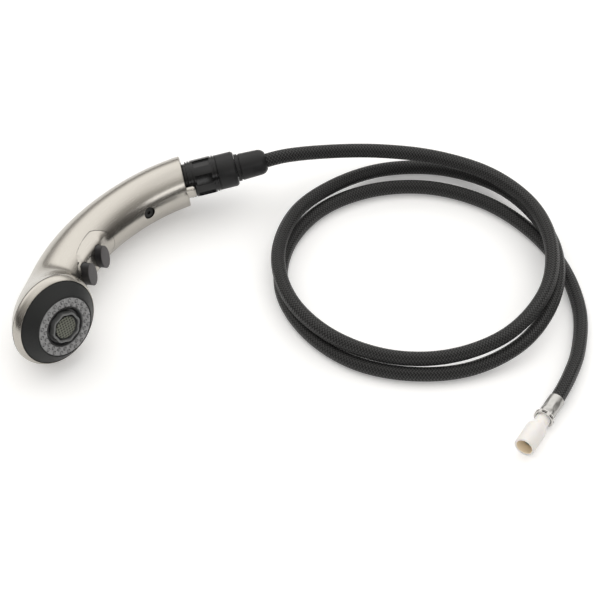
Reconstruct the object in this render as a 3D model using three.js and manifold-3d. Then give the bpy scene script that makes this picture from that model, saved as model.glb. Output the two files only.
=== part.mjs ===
// Pull-out spray wand of a kitchen tap, with its braided supply hose.
//
// The wand lies on its side on a table: the bell's rim and the belly of the handle touch it, and
// the hose runs from the docking collar in two loops to its quick connector. Millimetres, +Z up.
// The origin is on the table, under the middle of the wand's box.
//
// Inside the wand every place is given in one frame: +X runs out of the handle along the collar
// axis, and X-Y is the plane that the handle is symmetrical about, with the buttons on its -Y side.
// Every round piece is turned about the Y axis of the frame that it sits in.
import * as THREE from "three";
import { mergeVertices } from "three/addons/utils/BufferGeometryUtils.js";
import Module from "manifold-3d";

const wasm = await Module();
wasm.setup();

// ---------------------------------------------------------------- driving dimensions

// Fits: the gap round a seated piece, and the running clearance of a piece that moves
const GAP = 0.3;
const RUNNING = 0.35;

// How the wand lies: degrees, and millimetres from the origin to the dock end's centre
const WAND_HEADING = 40.83;
const WAND_PITCH = 9.1;
const WAND_ROLL = -11.75;
const DOCK_PLACE = new THREE.Vector3(0.07, 72.12, 22.565);

// Handle: a tube along two arcs that start a little off the collar axis
const HANDLE_RADIUS = 17.3;
const SHELL_WALL = 2.2;
const START_HEADING = 188;
const FIRST_ARC_RADIUS = 102.5;
const FIRST_ARC_TURN = 21.1;
const SECOND_ARC_RADIUS = 141;
const SECOND_ARC_TURN = 37.5;
const DOCK_WALL = 3;
const DOCK_EDGE = 0.9;

// Head: its centre is a step ahead of the tube's end and a step to the button side
const HEAD_REACH = 40.3;
const HEAD_SIDESTEP = 14.5;
const HEAD_TURN = 55.1;
const RIM_RADIUS = 30.9;
const BAND_WIDTH = 6;
const BAND_WALL = 2.5;
const FACE_HEIGHT = 8;
const FACE_WALL = 2.2;
const FACE_SKIRT_RADIUS = 25.8;
const FACE_SKIRT_LENGTH = 9;

// Nozzle ring, with two staggered rows of nubs
const NOZZLE_OUTER = 19.9;
const NOZZLE_INNER = 14;
const NOZZLE_THICKNESS = 2.3;
const NUBS_PER_ROW = 20;
const NUB_ROWS = [15.6, 18.2];
const NUB_HEIGHT = 1.1;
const NUB_BASE = 1;
const NUB_TIP = 0.6;
const NUB_BORE = 0.28;

// Aerator in the middle of the face
const AERATOR_CUP_RADIUS = 13.7;
const AERATOR_BORE = 9.8;
const AERATOR_CUP_WALL = 1.2;
const AERATOR_CUP_DEPTH = 2.5;
const AERATOR_LOBES = 8;
const AERATOR_STANDS = 10;
const SCREEN_RADIUS = 8.1;
const SPRAY_PLATE_THICKNESS = 2.8;

// Button panel and buttons
const BUTTONS_AT = 108;
const BUTTON_SPACING = 18.75;
const BUTTON_HALF_LENGTH = 5.15;
const BUTTON_HALF_WIDTH = 8.5;
const BUTTON_PROUD = 5.86;
const BUTTON_TRAVEL = 2.5;
const FLANGE_LIP = 0.9;
const FLANGE_THICKNESS = 1.1;
const PAD_RISE = 1.8;
const PAD_HALF_WIDTH = 10.4;
const SADDLE_DOCK_END = 27.5;
const SADDLE_HEAD_END = 20.5;
const SADDLE_HALF_WIDTH = 13.9;

// Valves under the buttons
const BLOCK_LENGTH = 36;
const PLUNGER_RADIUS = 2.2;
const PLUNGER_BORE = 3.2;
const PLUNGER_REACH = 15;
const SPRING_POCKET_RADIUS = 4.8;
const SPRING_POCKET_DEPTH = 5;
const SPRING_WIRE = 0.45;

// Waterway between the collar and the valves
const WATERWAY_RADIUS = 7.4;
const WATERWAY_WALL = 2;
const SCREW_AT = 38.3;
const SCREW_HEAD_RADIUS = 3.8;
const SCREW_SINK = 0.9;

// Docking collar
const COLLAR_RADIUS = 12.5;
const COLLAR_LENGTH = 22.9;
const COLLAR_BORE = 6.9;
const COLLAR_SEAT = 1;
const COLLAR_UNDERCUT = 1.2;
const UNDERCUT_LENGTH = 2.3;
const COLLAR_WINDOWS = 6;
const WINDOW_DEPTH = 1.8;
const SPIGOT_RADIUS = 8.6;
const SPIGOT_LENGTH = 11.5;
const SOCKET_WALL = 2.2;
const KEY_TAB_LENGTH = 6.5;
const KEY_TAB_WIDTH = 9;

// Hose nut, nipple and strain relief
const NUT_RADIUS = 11.9;
const NUT_LENGTH = 12.3;
const NUT_CHAMFER = 1.3;
const NECK_RADIUS = 9.2;
const NECK_LENGTH = 3.4;
const NIPPLE_RADIUS = 6.2;
const NIPPLE_FLANGE_RADIUS = 8.7;
const NIPPLE_BORE = 3.2;
const RELIEF_RADIUS = 9.1;
const RELIEF_LENGTH = 20.7;
const RELIEF_NOSE = 4.2;
const RELIEF_SOCKET = 2;

// Hose and end fitting
const HOSE_RADIUS = 4.75;
const FERRULE_LENGTH = 15;
const FERRULE_RADIUS = 5.5;
const CLIP_RADIUS = 6.9;
const CLIP_LENGTH = 4;
const CONNECTOR_RADIUS = 7;
const CONNECTOR_NECK = 4.9;
const CONNECTOR_LENGTH = 30.3;
const MOUTH_RADIUS = 5.3;
const MOUTH_DEPTH = 12;

// ---------------------------------------------------------------- materials

const finish = (color, roughness, metalness) =>
  new THREE.MeshStandardMaterial({ color, roughness, metalness });
const brushedNickel = () => finish("#bdb9ac", 0.3, 1);
const charcoal = () => finish("#38383a", 0.6, 0);
const blackPlastic = () => finish("#262626", 0.4, 0);
const greyRubber = () => finish("#8c8c8c", 0.7, 0);
const blackRubber = () => finish("#1c1c1c", 0.8, 0);
const whiteAcetal = () => finish("#e8e4da", 0.5, 0);
const stainlessSteel = () => finish("#c9c8c4", 0.25, 1);

// ---------------------------------------------------------------- making and placing solids

const radians = THREE.MathUtils.degToRad;
const heading = (degrees) =>
  new THREE.Vector2(Math.cos(radians(degrees)), Math.sin(radians(degrees)));

// The manifold solid of a closed geometry.
function solid(geometry) {
  const bare = geometry.clone();
  bare.deleteAttribute("normal");
  bare.deleteAttribute("uv");
  const merged = mergeVertices(bare, 1e-4);
  return new wasm.Manifold(
    new wasm.Mesh({
      numProp: 3,
      vertProperties: merged.attributes.position.array,
      triVerts: new Uint32Array(merged.index.array),
    }),
  );
}

// The drawable geometry of a manifold solid.
function drawn(body) {
  const mesh = body.getMesh();
  const geometry = new THREE.BufferGeometry();
  geometry.setAttribute("position", new THREE.BufferAttribute(mesh.vertProperties, 3));
  geometry.setIndex(new THREE.BufferAttribute(mesh.triVerts, 1));
  geometry.computeVertexNormals();
  return geometry;
}

// A solid turned about Y from a profile of [radius, height] corners, which runs up its outer side
// and down its inner one. A profile that starts off the axis is closed into a ring.
function turned(profile, sides = 16) {
  const corners = profile.map(([radius, height]) => new THREE.Vector2(radius, height));
  if (profile[0][0] > 0) corners.push(corners[0].clone());
  return new THREE.LatheGeometry(corners, sides);
}

// A plain disc or, with an inner radius, a plain ring.
function ring(inner, outer, bottom, top, sides = 16) {
  return turned([[inner, bottom], [outer, bottom], [outer, top], [inner, top]], sides);
}

// An outline in X-Z pushed up along Y from bottom to top.
function raised(shape, bottom, top, curveSegments = 8) {
  const geometry = new THREE.ExtrudeGeometry(shape, {
    depth: top - bottom,
    bevelEnabled: false,
    curveSegments,
  });
  return geometry.rotateX(-Math.PI / 2).translate(0, bottom, 0);
}

function oval(halfLength, halfWidth) {
  const shape = new THREE.Shape();
  shape.absellipse(0, 0, halfLength, halfWidth, 0, 2 * Math.PI);
  return shape;
}

function polygon(radius, sides) {
  const corners = Array.from({ length: sides }, (_, i) => heading((i / sides) * 360));
  return new THREE.Shape(corners.map((corner) => corner.multiplyScalar(radius)));
}

// An O-ring of round section about Y.
function oRing(middleRadius, sectionRadius, height, sides = 16) {
  const section = [];
  for (let i = 0; i < 4; i += 1) {
    const angle = (i / 4) * 2 * Math.PI;
    section.push([
      middleRadius + sectionRadius * Math.cos(angle),
      height + sectionRadius * Math.sin(angle),
    ]);
  }
  return turned(section, sides);
}

class Helix extends THREE.Curve {
  constructor(radius, bottom, top, turns) {
    super();
    Object.assign(this, { radius, bottom, top, turns });
  }

  getPoint(t) {
    const angle = t * this.turns * 2 * Math.PI;
    const height = this.bottom + t * (this.top - this.bottom);
    return new THREE.Vector3(this.radius * Math.cos(angle), height, this.radius * Math.sin(angle));
  }
}

// A compression spring about Y between two faces.
function spring(radius, bottom, top, turns) {
  return new THREE.ExtrudeGeometry(polygon(SPRING_WIRE, 4), {
    steps: turns * 8,
    extrudePath: new Helix(radius, bottom + SPRING_WIRE + GAP, top - SPRING_WIRE - GAP, turns),
  });
}

// A solid through round sections that all stand square to the X-Y plane. Each has a centre, the
// direction in X-Y of its diameter, and its radius, which may vary with the angle round it.
function loft(sections, sides) {
  const steps = sections.length - 1;
  const geometry = new THREE.CylinderGeometry(1, 1, 1, sides, steps);
  const points = geometry.attributes.position;
  for (let i = 0; i < points.count; i += 1) {
    const { centre, across, radius } = sections[Math.round((0.5 - points.getY(i)) * steps)];
    const angle = Math.atan2(points.getZ(i), points.getX(i));
    const reach = typeof radius === "function" ? radius(angle) : radius;
    const side = points.getX(i) * reach;
    points.setXYZ(
      i,
      centre.x + across.x * side,
      centre.y + across.y * side,
      points.getZ(i) * reach,
    );
  }
  return geometry;
}

const wand = new THREE.Group();
wand.position.copy(DOCK_PLACE);
wand.rotation.set(radians(WAND_ROLL), radians(-WAND_PITCH), radians(WAND_HEADING), "ZYX");

// A frame in the wand whose X axis has this heading in the plane of symmetry.
function frame(point, heading) {
  const group = new THREE.Group();
  group.position.set(point.x, point.y, 0);
  group.rotation.z = radians(heading);
  group.updateMatrix();
  wand.add(group);
  return group;
}

// A geometry of one frame, in the wand's own frame.
function inWand(geometry, group) {
  return geometry.clone().applyMatrix4(group.matrix);
}

function add(group, name, geometry, material) {
  const mesh = new THREE.Mesh(geometry, material);
  mesh.name = name;
  group.add(mesh);
  return mesh;
}

// ---------------------------------------------------------------- the handle's line

const firstArcLength = FIRST_ARC_RADIUS * radians(FIRST_ARC_TURN);
const tubeLength = firstArcLength + SECOND_ARC_RADIUS * radians(SECOND_ARC_TURN);

function walkArc(start, radius, length) {
  const turn = length / radius;
  const heading = radians(start.heading);
  return {
    x: start.x + radius * (Math.sin(heading + turn) - Math.sin(heading)),
    y: start.y - radius * (Math.cos(heading + turn) - Math.cos(heading)),
    heading: start.heading + THREE.MathUtils.radToDeg(turn),
  };
}

// The point and heading on the tube's centre line, this far from the dock end.
function onLine(distance) {
  const start = { x: 0, y: 0, heading: START_HEADING };
  if (distance <= firstArcLength) return walkArc(start, FIRST_ARC_RADIUS, distance);
  const joint = walkArc(start, FIRST_ARC_RADIUS, firstArcLength);
  return walkArc(joint, SECOND_ARC_RADIUS, distance - firstArcLength);
}

// A section of the tube. Near the dock end it leans back to stand square to the collar axis.
const SQUARE_LENGTH = 20;
function tubeSection(distance, radius) {
  const point = onLine(distance);
  const lean = Math.min(1, distance / SQUARE_LENGTH);
  const sectionHeading = THREE.MathUtils.lerp(180, point.heading, lean);
  return {
    centre: new THREE.Vector2(point.x, point.y),
    across: heading(sectionHeading + 90),
    radius,
  };
}

const tubeEnd = onLine(tubeLength);
const headCentre = new THREE.Vector2(tubeEnd.x, tubeEnd.y)
  .addScaledVector(heading(tubeEnd.heading), HEAD_REACH)
  .addScaledVector(heading(tubeEnd.heading + 90), HEAD_SIDESTEP);
const faceHeading = tubeEnd.heading + HEAD_TURN;
const rimCentre = headCentre.clone().addScaledVector(heading(faceHeading), -BAND_WIDTH);

// The bell is bounded by two curves, on the back of the hand side and on the button side.
const BACK_CURVE = { leave: 27, arrive: 14, arriveTurn: -24.7 };
const BUTTON_SIDE_CURVE = { leave: 5, arrive: 6, arriveTurn: 20.3 };

function bellCurve(side, { leave, arrive, arriveTurn }) {
  const start = new THREE.Vector2(tubeEnd.x, tubeEnd.y).addScaledVector(
    heading(tubeEnd.heading + 90),
    side * HANDLE_RADIUS,
  );
  const end = rimCentre.clone().addScaledVector(heading(faceHeading + 90), side * RIM_RADIUS);
  return new THREE.CubicBezierCurve(
    start,
    start.clone().addScaledVector(heading(tubeEnd.heading), leave),
    end.clone().addScaledVector(heading(faceHeading + arriveTurn), -arrive),
    end,
  );
}

const backCurve = bellCurve(-1, BACK_CURVE);
const buttonSideCurve = bellCurve(1, BUTTON_SIDE_CURVE);

// A section of the bell, from 0 at the tube's end to 1 at the rim, this far inside its surface.
function bellSection(t, inset) {
  const back = backCurve.getPoint(t);
  const front = buttonSideCurve.getPoint(t);
  return {
    centre: back.clone().add(front).multiplyScalar(0.5),
    across: front.clone().sub(back).normalize(),
    radius: front.distanceTo(back) / 2 - inset,
  };
}

const TUBE_STEP = 10;
const BELL_STEPS = 8;

function tubeSections(from, to, radius, step = TUBE_STEP) {
  const steps = Math.max(1, Math.round((to - from) / step));
  return Array.from({ length: steps + 1 }, (_, i) =>
    tubeSection(THREE.MathUtils.lerp(from, to, i / steps), radius),
  );
}

function bellSections(inset) {
  return Array.from({ length: BELL_STEPS }, (_, i) => bellSection((i + 1) / BELL_STEPS, inset));
}

const innerRadius = HANDLE_RADIUS - SHELL_WALL;

// The bell's inner radius round the head's axis at this height, on the back side, which is closer.
function bellRoom(height) {
  const points = backCurve.getPoints(200).map((point) => point.sub(headCentre));
  const facing = heading(faceHeading);
  const there = points.find((point) => point.dot(facing) > height);
  return there.dot(heading(faceHeading - 90)) - SHELL_WALL;
}

// The hollow of the handle, from the dock wall to just past the rim.
function handleHollow() {
  const mouth = bellSection(1, SHELL_WALL);
  mouth.centre = mouth.centre.clone().addScaledVector(heading(faceHeading), 1);
  return solid(
    loft([...tubeSections(DOCK_WALL, tubeLength, innerRadius), ...bellSections(SHELL_WALL), mouth], 16),
  );
}

// ---------------------------------------------------------------- frames

const collarFrame = frame({ x: 0, y: 0 }, -90);
const screwFrame = frame(onLine(SCREW_AT), onLine(SCREW_AT).heading);
const buttonFrame = frame(onLine(BUTTONS_AT), onLine(BUTTONS_AT).heading);
const headFrame = frame(headCentre, faceHeading - 90);

// ---------------------------------------------------------------- handle shell and button saddle

// The waterway's socket for the collar's spigot, which the shell leaves room for.
const socketBore = SPIGOT_RADIUS + GAP + 0.05;
const socketOutside = socketBore + SOCKET_WALL;
const socketEnd = SPIGOT_LENGTH + GAP;

// The saddle's outline seen from the buttons: blunt towards the dock, pointed towards the head.
function saddleOutline(grow) {
  const back = -SADDLE_DOCK_END - grow;
  const tip = SADDLE_HEAD_END + grow;
  const half = SADDLE_HALF_WIDTH + grow;
  const shape = new THREE.Shape();
  shape.moveTo(back, 0);
  shape.bezierCurveTo(back, -0.5 * half, back + 4.8, -half + 1.7, back + 11.3, -half);
  shape.bezierCurveTo(back + 20, -half, -3, -half + 0.4, 4.5, -half + 1.3);
  shape.bezierCurveTo(10, -half + 3.4, tip, -0.3 * half, tip, 0);
  shape.bezierCurveTo(tip, 0.3 * half, 10, half - 3.4, 4.5, half - 1.3);
  shape.bezierCurveTo(-3, half - 0.4, back + 20, half, back + 11.3, half);
  shape.bezierCurveTo(back + 4.8, half - 1.7, back, 0.5 * half, back, 0);
  return shape;
}

const saddlePrism = (grow) =>
  solid(inWand(raised(saddleOutline(grow), 5, HANDLE_RADIUS + 8, 6), buttonFrame));

// The pad: level across the buttons, with flanks that come down to the tube at the saddle's edge.
const padHeight = HANDLE_RADIUS + PAD_RISE;
const padCorner = Math.atan2(PAD_HALF_WIDTH, padHeight);
const padFoot = Math.asin(SADDLE_HALF_WIDTH / HANDLE_RADIUS);
const PAD_FADE = { dockEnd: 13, headEnd: 8 };

function padRadius(angle, strength) {
  const turn = Math.abs(angle);
  const level = padHeight / Math.cos(Math.min(turn, padCorner));
  const flank = THREE.MathUtils.smoothstep(turn, padCorner, padFoot);
  const full = THREE.MathUtils.lerp(level, HANDLE_RADIUS, flank);
  return THREE.MathUtils.lerp(HANDLE_RADIUS, full, strength);
}

// How fully the pad stands at this distance along the handle: it fades out at both ends.
function padStrength(distance) {
  const dockEnd = BUTTONS_AT - SADDLE_DOCK_END;
  const headEnd = BUTTONS_AT + SADDLE_HEAD_END;
  return Math.min(
    THREE.MathUtils.smoothstep(distance, dockEnd, dockEnd + PAD_FADE.dockEnd),
    1 - THREE.MathUtils.smoothstep(distance, headEnd - PAD_FADE.headEnd, headEnd),
  );
}

function padLoft() {
  const sections = tubeSections(BUTTONS_AT - SADDLE_DOCK_END - 2, tubeLength, HANDLE_RADIUS);
  const steps = sections.length - 1;
  sections.forEach((section, i) => {
    const from = BUTTONS_AT - SADDLE_DOCK_END - 2;
    const strength = padStrength(THREE.MathUtils.lerp(from, tubeLength, i / steps));
    section.radius = (angle) => padRadius(angle, strength);
  });
  return solid(loft([...sections, ...bellSections(0)], 48));
}

const pocketCeiling = innerRadius + 0.4;
const flangeTop = pocketCeiling - RUNNING;
const flangeBottom = flangeTop - FLANGE_THICKNESS;
const blockTop = flangeBottom - BUTTON_TRAVEL - 0.5;
const buttonPlaces = { spray: -BUTTON_SPACING / 2, jet: BUTTON_SPACING / 2 };

function handleShell() {
  const outer = [
    tubeSection(0, HANDLE_RADIUS - DOCK_EDGE),
    tubeSection(0.3 * DOCK_EDGE, HANDLE_RADIUS - 0.3 * DOCK_EDGE),
    ...tubeSections(DOCK_EDGE, tubeLength, HANDLE_RADIUS),
    ...bellSections(0),
  ];
  const keyTab = new THREE.BoxGeometry(
    HANDLE_RADIUS - COLLAR_RADIUS - 2 * GAP,
    KEY_TAB_LENGTH + DOCK_WALL,
    KEY_TAB_WIDTH,
  ).translate(
    COLLAR_RADIUS + GAP + (HANDLE_RADIUS - COLLAR_RADIUS) / 2 - GAP,
    (KEY_TAB_LENGTH - DOCK_WALL) / 2,
    0,
  );
  const dockBore = ring(0, SPIGOT_RADIUS + GAP, -DOCK_WALL - 1, 1);
  const drumSeat = ring(0, COLLAR_RADIUS + GAP, -COLLAR_SEAT, 1, 24);
  const socketRoom = ring(0, socketOutside + GAP, -socketEnd - 3, -DOCK_WALL - GAP, 24);
  const screwHole = ring(0, SCREW_HEAD_RADIUS + GAP, innerRadius - 2, HANDLE_RADIUS + 2, 20);
  return drawn(
    solid(loft(outer, 28))
      .subtract(handleHollow())
      .add(solid(inWand(keyTab, collarFrame)))
      .subtract(solid(inWand(dockBore, collarFrame)))
      .subtract(solid(inWand(drumSeat, collarFrame)))
      .subtract(solid(inWand(socketRoom, collarFrame)))
      .subtract(solid(inWand(screwHole, screwFrame)))
      .subtract(saddlePrism(GAP)),
  );
}

function buttonSaddle() {
  const pocketHalfLength = BUTTON_SPACING / 2 + BUTTON_HALF_LENGTH + FLANGE_LIP + RUNNING;
  const pocketHalfWidth = BUTTON_HALF_WIDTH + FLANGE_LIP + RUNNING;
  const pocket = new THREE.BoxGeometry(2 * pocketHalfLength, 10, 2 * pocketHalfWidth).translate(
    0,
    pocketCeiling - 5,
    0,
  );
  let body = padLoft()
    .intersect(saddlePrism(0))
    .subtract(handleHollow())
    .subtract(solid(inWand(pocket, buttonFrame)));
  for (const place of Object.values(buttonPlaces)) {
    const hole = raised(
      oval(BUTTON_HALF_LENGTH + RUNNING, BUTTON_HALF_WIDTH + RUNNING),
      pocketCeiling - 1,
      padHeight + 6,
      10,
    ).translate(place, 0, 0);
    body = body.subtract(solid(inWand(hole, buttonFrame)));
  }
  return drawn(body);
}

add(wand, "handle_shell", handleShell(), brushedNickel());
add(wand, "button_saddle", buttonSaddle(), brushedNickel());

// ---------------------------------------------------------------- buttons, plungers and springs

const springPocketFloor = blockTop - SPRING_POCKET_DEPTH;
const plungerTop = flangeTop + 1;
const plungerBottom = plungerTop - PLUNGER_REACH - 4;
const sealHeight = springPocketFloor - 3.5;

function pushButton() {
  const faceEdge = 0.6;
  const cap = new THREE.ExtrudeGeometry(oval(BUTTON_HALF_LENGTH, BUTTON_HALF_WIDTH), {
    depth: HANDLE_RADIUS + BUTTON_PROUD - flangeBottom - 2 * faceEdge,
    bevelThickness: faceEdge,
    bevelSize: faceEdge,
    bevelOffset: -faceEdge,
    bevelSegments: 1,
    curveSegments: 10,
  });
  cap.rotateX(-Math.PI / 2).translate(0, flangeBottom + faceEdge, 0);
  const flangeShape = oval(BUTTON_HALF_LENGTH + FLANGE_LIP, BUTTON_HALF_WIDTH + FLANGE_LIP);
  const flange = raised(flangeShape, flangeBottom, flangeTop, 10);
  const socket = ring(0, PLUNGER_RADIUS + GAP, flangeBottom - 1, plungerTop + GAP, 10);
  return drawn(solid(cap).add(solid(flange)).subtract(solid(socket)));
}

function plunger() {
  const grooveHalf = 0.9;
  const grooveRadius = 1.5;
  return turned(
    [
      [0, plungerBottom],
      [PLUNGER_RADIUS - 0.4, plungerBottom],
      [PLUNGER_RADIUS, plungerBottom + 0.4],
      [PLUNGER_RADIUS, sealHeight - grooveHalf],
      [grooveRadius, sealHeight - grooveHalf],
      [grooveRadius, sealHeight + grooveHalf],
      [PLUNGER_RADIUS, sealHeight + grooveHalf],
      [PLUNGER_RADIUS, plungerTop],
      [0, plungerTop],
    ],
    10,
  );
}

for (const [kind, place] of Object.entries(buttonPlaces)) {
  const buttonAxis = new THREE.Group();
  buttonAxis.position.x = place;
  buttonFrame.add(buttonAxis);
  add(buttonAxis, `button_${kind}`, pushButton(), charcoal());
  add(buttonAxis, `plunger_${kind}`, plunger(), whiteAcetal());
  add(buttonAxis, `plunger_seal_${kind}`, oRing(2.35, 0.55, sealHeight, 10), blackRubber());
  add(
    buttonAxis,
    `spring_${kind}`,
    spring(PLUNGER_RADIUS + 1.2, springPocketFloor, flangeBottom, 4),
    stainlessSteel(),
  );
}

// ---------------------------------------------------------------- valve block and waterway

const blockFrom = BUTTONS_AT - BLOCK_LENGTH / 2;
const blockTo = BUTTONS_AT + BLOCK_LENGTH / 2;
const waterwayBore = WATERWAY_RADIUS - WATERWAY_WALL;

function valveBlock() {
  const body = solid(loft(tubeSections(blockFrom, blockTo, innerRadius - GAP), 16));
  const lid = new THREE.BoxGeometry(2 * BLOCK_LENGTH, 20, 50).translate(0, blockTop + 10, 0);
  const sections = tubeSections(blockFrom - 3, blockTo + 3, 4);
  const channelDrop = 8.5;
  for (const section of sections) {
    section.centre = section.centre.clone().addScaledVector(section.across, -channelDrop);
  }
  let block = body.subtract(solid(inWand(lid, buttonFrame))).subtract(solid(loft(sections, 10)));
  for (const place of Object.values(buttonPlaces)) {
    const bore = turned(
      [
        [0, plungerBottom - BUTTON_TRAVEL - 1],
        [PLUNGER_BORE, plungerBottom - BUTTON_TRAVEL - 1],
        [PLUNGER_BORE, springPocketFloor],
        [SPRING_POCKET_RADIUS, springPocketFloor],
        [SPRING_POCKET_RADIUS, blockTop + 1],
        [0, blockTop + 1],
      ],
      10,
    ).translate(place, 0, 0);
    block = block.subtract(solid(inWand(bore, buttonFrame)));
  }
  return drawn(block);
}

add(wand, "valve_block", valveBlock(), blackPlastic());

// The waterway: a socket for the collar's spigot, then a tube to the valve block.
function waterwayTube() {
  const square = (distance, radius) => ({
    centre: new THREE.Vector2(-distance, 0),
    across: heading(270),
    radius,
  });
  const tubeStart = socketEnd + 7;
  const outside = [
    square(DOCK_WALL + GAP, socketOutside),
    square(socketEnd + 1, socketOutside),
    tubeSection(tubeStart, WATERWAY_RADIUS + 0.6),
    ...tubeSections(tubeStart + 3, blockFrom - GAP, WATERWAY_RADIUS, 12),
  ];
  const inside = [
    square(DOCK_WALL - 1, socketBore),
    square(socketEnd, socketBore),
    square(socketEnd + 0.1, waterwayBore),
    tubeSection(tubeStart, waterwayBore),
    ...tubeSections(tubeStart + 3, blockFrom + 1, waterwayBore, 12),
  ];
  const bossRadius = SCREW_HEAD_RADIUS + 0.6;
  const bossTop = HANDLE_RADIUS - SCREW_SINK - 2.4 - GAP;
  const boss = ring(0, bossRadius, WATERWAY_RADIUS - 1, bossTop, 20);
  const pilot = ring(0, 1.6 + GAP, WATERWAY_RADIUS + 0.6, bossTop + 1, 16);
  return drawn(
    solid(loft(outside, 16))
      .add(solid(inWand(boss, screwFrame)))
      .subtract(solid(loft(inside, 16)))
      .subtract(solid(inWand(pilot, screwFrame))),
  );
}

add(wand, "waterway_tube", waterwayTube(), blackPlastic());

function fixingScrew() {
  const headTop = HANDLE_RADIUS - SCREW_SINK;
  const headBottom = headTop - 2.4;
  const shankBottom = WATERWAY_RADIUS + 1;
  const body = turned(
    [
      [0, shankBottom],
      [1.6, shankBottom],
      [1.6, headBottom],
      [SCREW_HEAD_RADIUS - 0.2, headBottom],
      [SCREW_HEAD_RADIUS - 0.2, headTop - 0.4],
      [SCREW_HEAD_RADIUS - 0.6, headTop],
      [0, headTop],
    ],
    20,
  );
  const hexSocket = ring(0, 1.45, headTop - 1.5, headTop + 1, 6);
  return drawn(solid(body).subtract(solid(hexSocket)));
}

add(screwFrame, "fixing_screw", fixingScrew(), stainlessSteel());

// ---------------------------------------------------------------- docking collar and check valve

const collarSpigotGrooves = [-9, -5];
const seatTop = 16;
const seatBottom = 13;
const poppetTop = seatBottom - GAP;
const springShoulder = 0;
const drumStart = GAP - COLLAR_SEAT;

function dockingCollar() {
  const groove = (height, half, depth) => [
    [COLLAR_RADIUS, height - half],
    [COLLAR_RADIUS - depth, height - half],
    [COLLAR_RADIUS - depth, height + half],
    [COLLAR_RADIUS, height + half],
  ];
  const sealGroove = (height) => [
    [SPIGOT_RADIUS, height - 1.05],
    [SPIGOT_RADIUS - 1.7, height - 1.05],
    [SPIGOT_RADIUS - 1.7, height + 1.05],
    [SPIGOT_RADIUS, height + 1.05],
  ];
  const neckTop = COLLAR_LENGTH + NECK_LENGTH;
  const profile = [
    [COLLAR_BORE - 1.9, -SPIGOT_LENGTH],
    [SPIGOT_RADIUS - 0.6, -SPIGOT_LENGTH],
    [SPIGOT_RADIUS, -SPIGOT_LENGTH + 0.6],
    ...collarSpigotGrooves.flatMap(sealGroove),
    [SPIGOT_RADIUS, drumStart],
    [COLLAR_RADIUS - COLLAR_UNDERCUT, drumStart],
    [COLLAR_RADIUS - COLLAR_UNDERCUT, UNDERCUT_LENGTH],
    [COLLAR_RADIUS - 0.3, UNDERCUT_LENGTH],
    [COLLAR_RADIUS, UNDERCUT_LENGTH + 0.3],
    ...groove(UNDERCUT_LENGTH + 1.3, 0.45, 0.7),
    ...groove(UNDERCUT_LENGTH + 3.1, 0.45, 0.7),
    ...groove(COLLAR_LENGTH - 2.4, 0.35, 0.7),
    ...groove(COLLAR_LENGTH - 1.1, 0.35, 0.7),
    [COLLAR_RADIUS, COLLAR_LENGTH],
    [NECK_RADIUS, COLLAR_LENGTH],
    [NECK_RADIUS, neckTop],
    [COLLAR_BORE, neckTop],
    [COLLAR_BORE, springShoulder],
    [COLLAR_BORE - 1.9, springShoulder],
  ];
  const windowFrom = UNDERCUT_LENGTH + 6.8;
  const windowTo = COLLAR_LENGTH - 4;
  let body = solid(turned(profile, 24));
  for (let i = 0; i < COLLAR_WINDOWS; i += 1) {
    const window = new THREE.BoxGeometry(2 * WINDOW_DEPTH, windowTo - windowFrom, 7).translate(
      COLLAR_RADIUS,
      (windowFrom + windowTo) / 2,
      0,
    );
    window.rotateY(((i + 0.5) / COLLAR_WINDOWS) * 2 * Math.PI);
    body = body.subtract(solid(window));
  }
  return drawn(body);
}

add(collarFrame, "docking_collar", dockingCollar(), blackPlastic());
["rear", "front"].forEach((place, i) => {
  const seal = oRing(SPIGOT_RADIUS - 0.7, 0.8, collarSpigotGrooves[i]);
  add(collarFrame, `collar_o_ring_${place}`, seal, blackRubber());
});

// The check valve: water lifts the poppet off its seat towards the handle.
const seat = turned([
  [3.6, seatBottom + 0.5],
  [4.4, seatBottom],
  [COLLAR_BORE - GAP, seatBottom],
  [COLLAR_BORE - GAP, seatTop],
  [3.6, seatTop],
]);
add(collarFrame, "check_valve_seat", seat, whiteAcetal());

const poppet = turned(
  [
    [0, poppetTop - 7.5],
    [1.5, poppetTop - 7.5],
    [1.5, poppetTop - 1.8],
    [5.2, poppetTop - 1.8],
    [5.2, poppetTop],
    [2.8, poppetTop],
    [1.8, poppetTop + 1.4],
    [0, poppetTop + 1.6],
  ],
  16,
);
add(collarFrame, "check_poppet", poppet, blackPlastic());
add(
  collarFrame,
  "check_spring",
  spring(3.6, springShoulder, poppetTop - 1.8, 5),
  stainlessSteel(),
);

// ---------------------------------------------------------------- hose nut, nipple, strain relief

const nutBottom = COLLAR_LENGTH + GAP;
const nutTop = nutBottom + NUT_LENGTH;
const washerBottom = COLLAR_LENGTH + NECK_LENGTH + GAP;
const washerTop = washerBottom + 1;
const flangeStart = washerTop + GAP;
const flangeEnd = flangeStart + 2.6;
const reliefStart = nutTop + GAP;
const reliefEnd = reliefStart + RELIEF_LENGTH;
const nippleEnd = reliefStart + 8;

const hoseNut = turned(
  [
    [NECK_RADIUS + GAP, nutBottom],
    [NUT_RADIUS - 0.4, nutBottom],
    [NUT_RADIUS, nutBottom + 0.4],
    [NUT_RADIUS, nutTop - NUT_CHAMFER],
    [NUT_RADIUS - NUT_CHAMFER, nutTop],
    [NIPPLE_RADIUS + RUNNING, nutTop],
    [NIPPLE_RADIUS + RUNNING, flangeEnd + GAP],
    [NECK_RADIUS + GAP, flangeEnd + GAP],
  ],
  28,
);
add(collarFrame, "hose_nut", hoseNut, blackPlastic());
add(
  collarFrame,
  "nut_washer",
  ring(NIPPLE_BORE + 0.6, NECK_RADIUS - 0.2, washerBottom, washerTop),
  blackRubber(),
);

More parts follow.
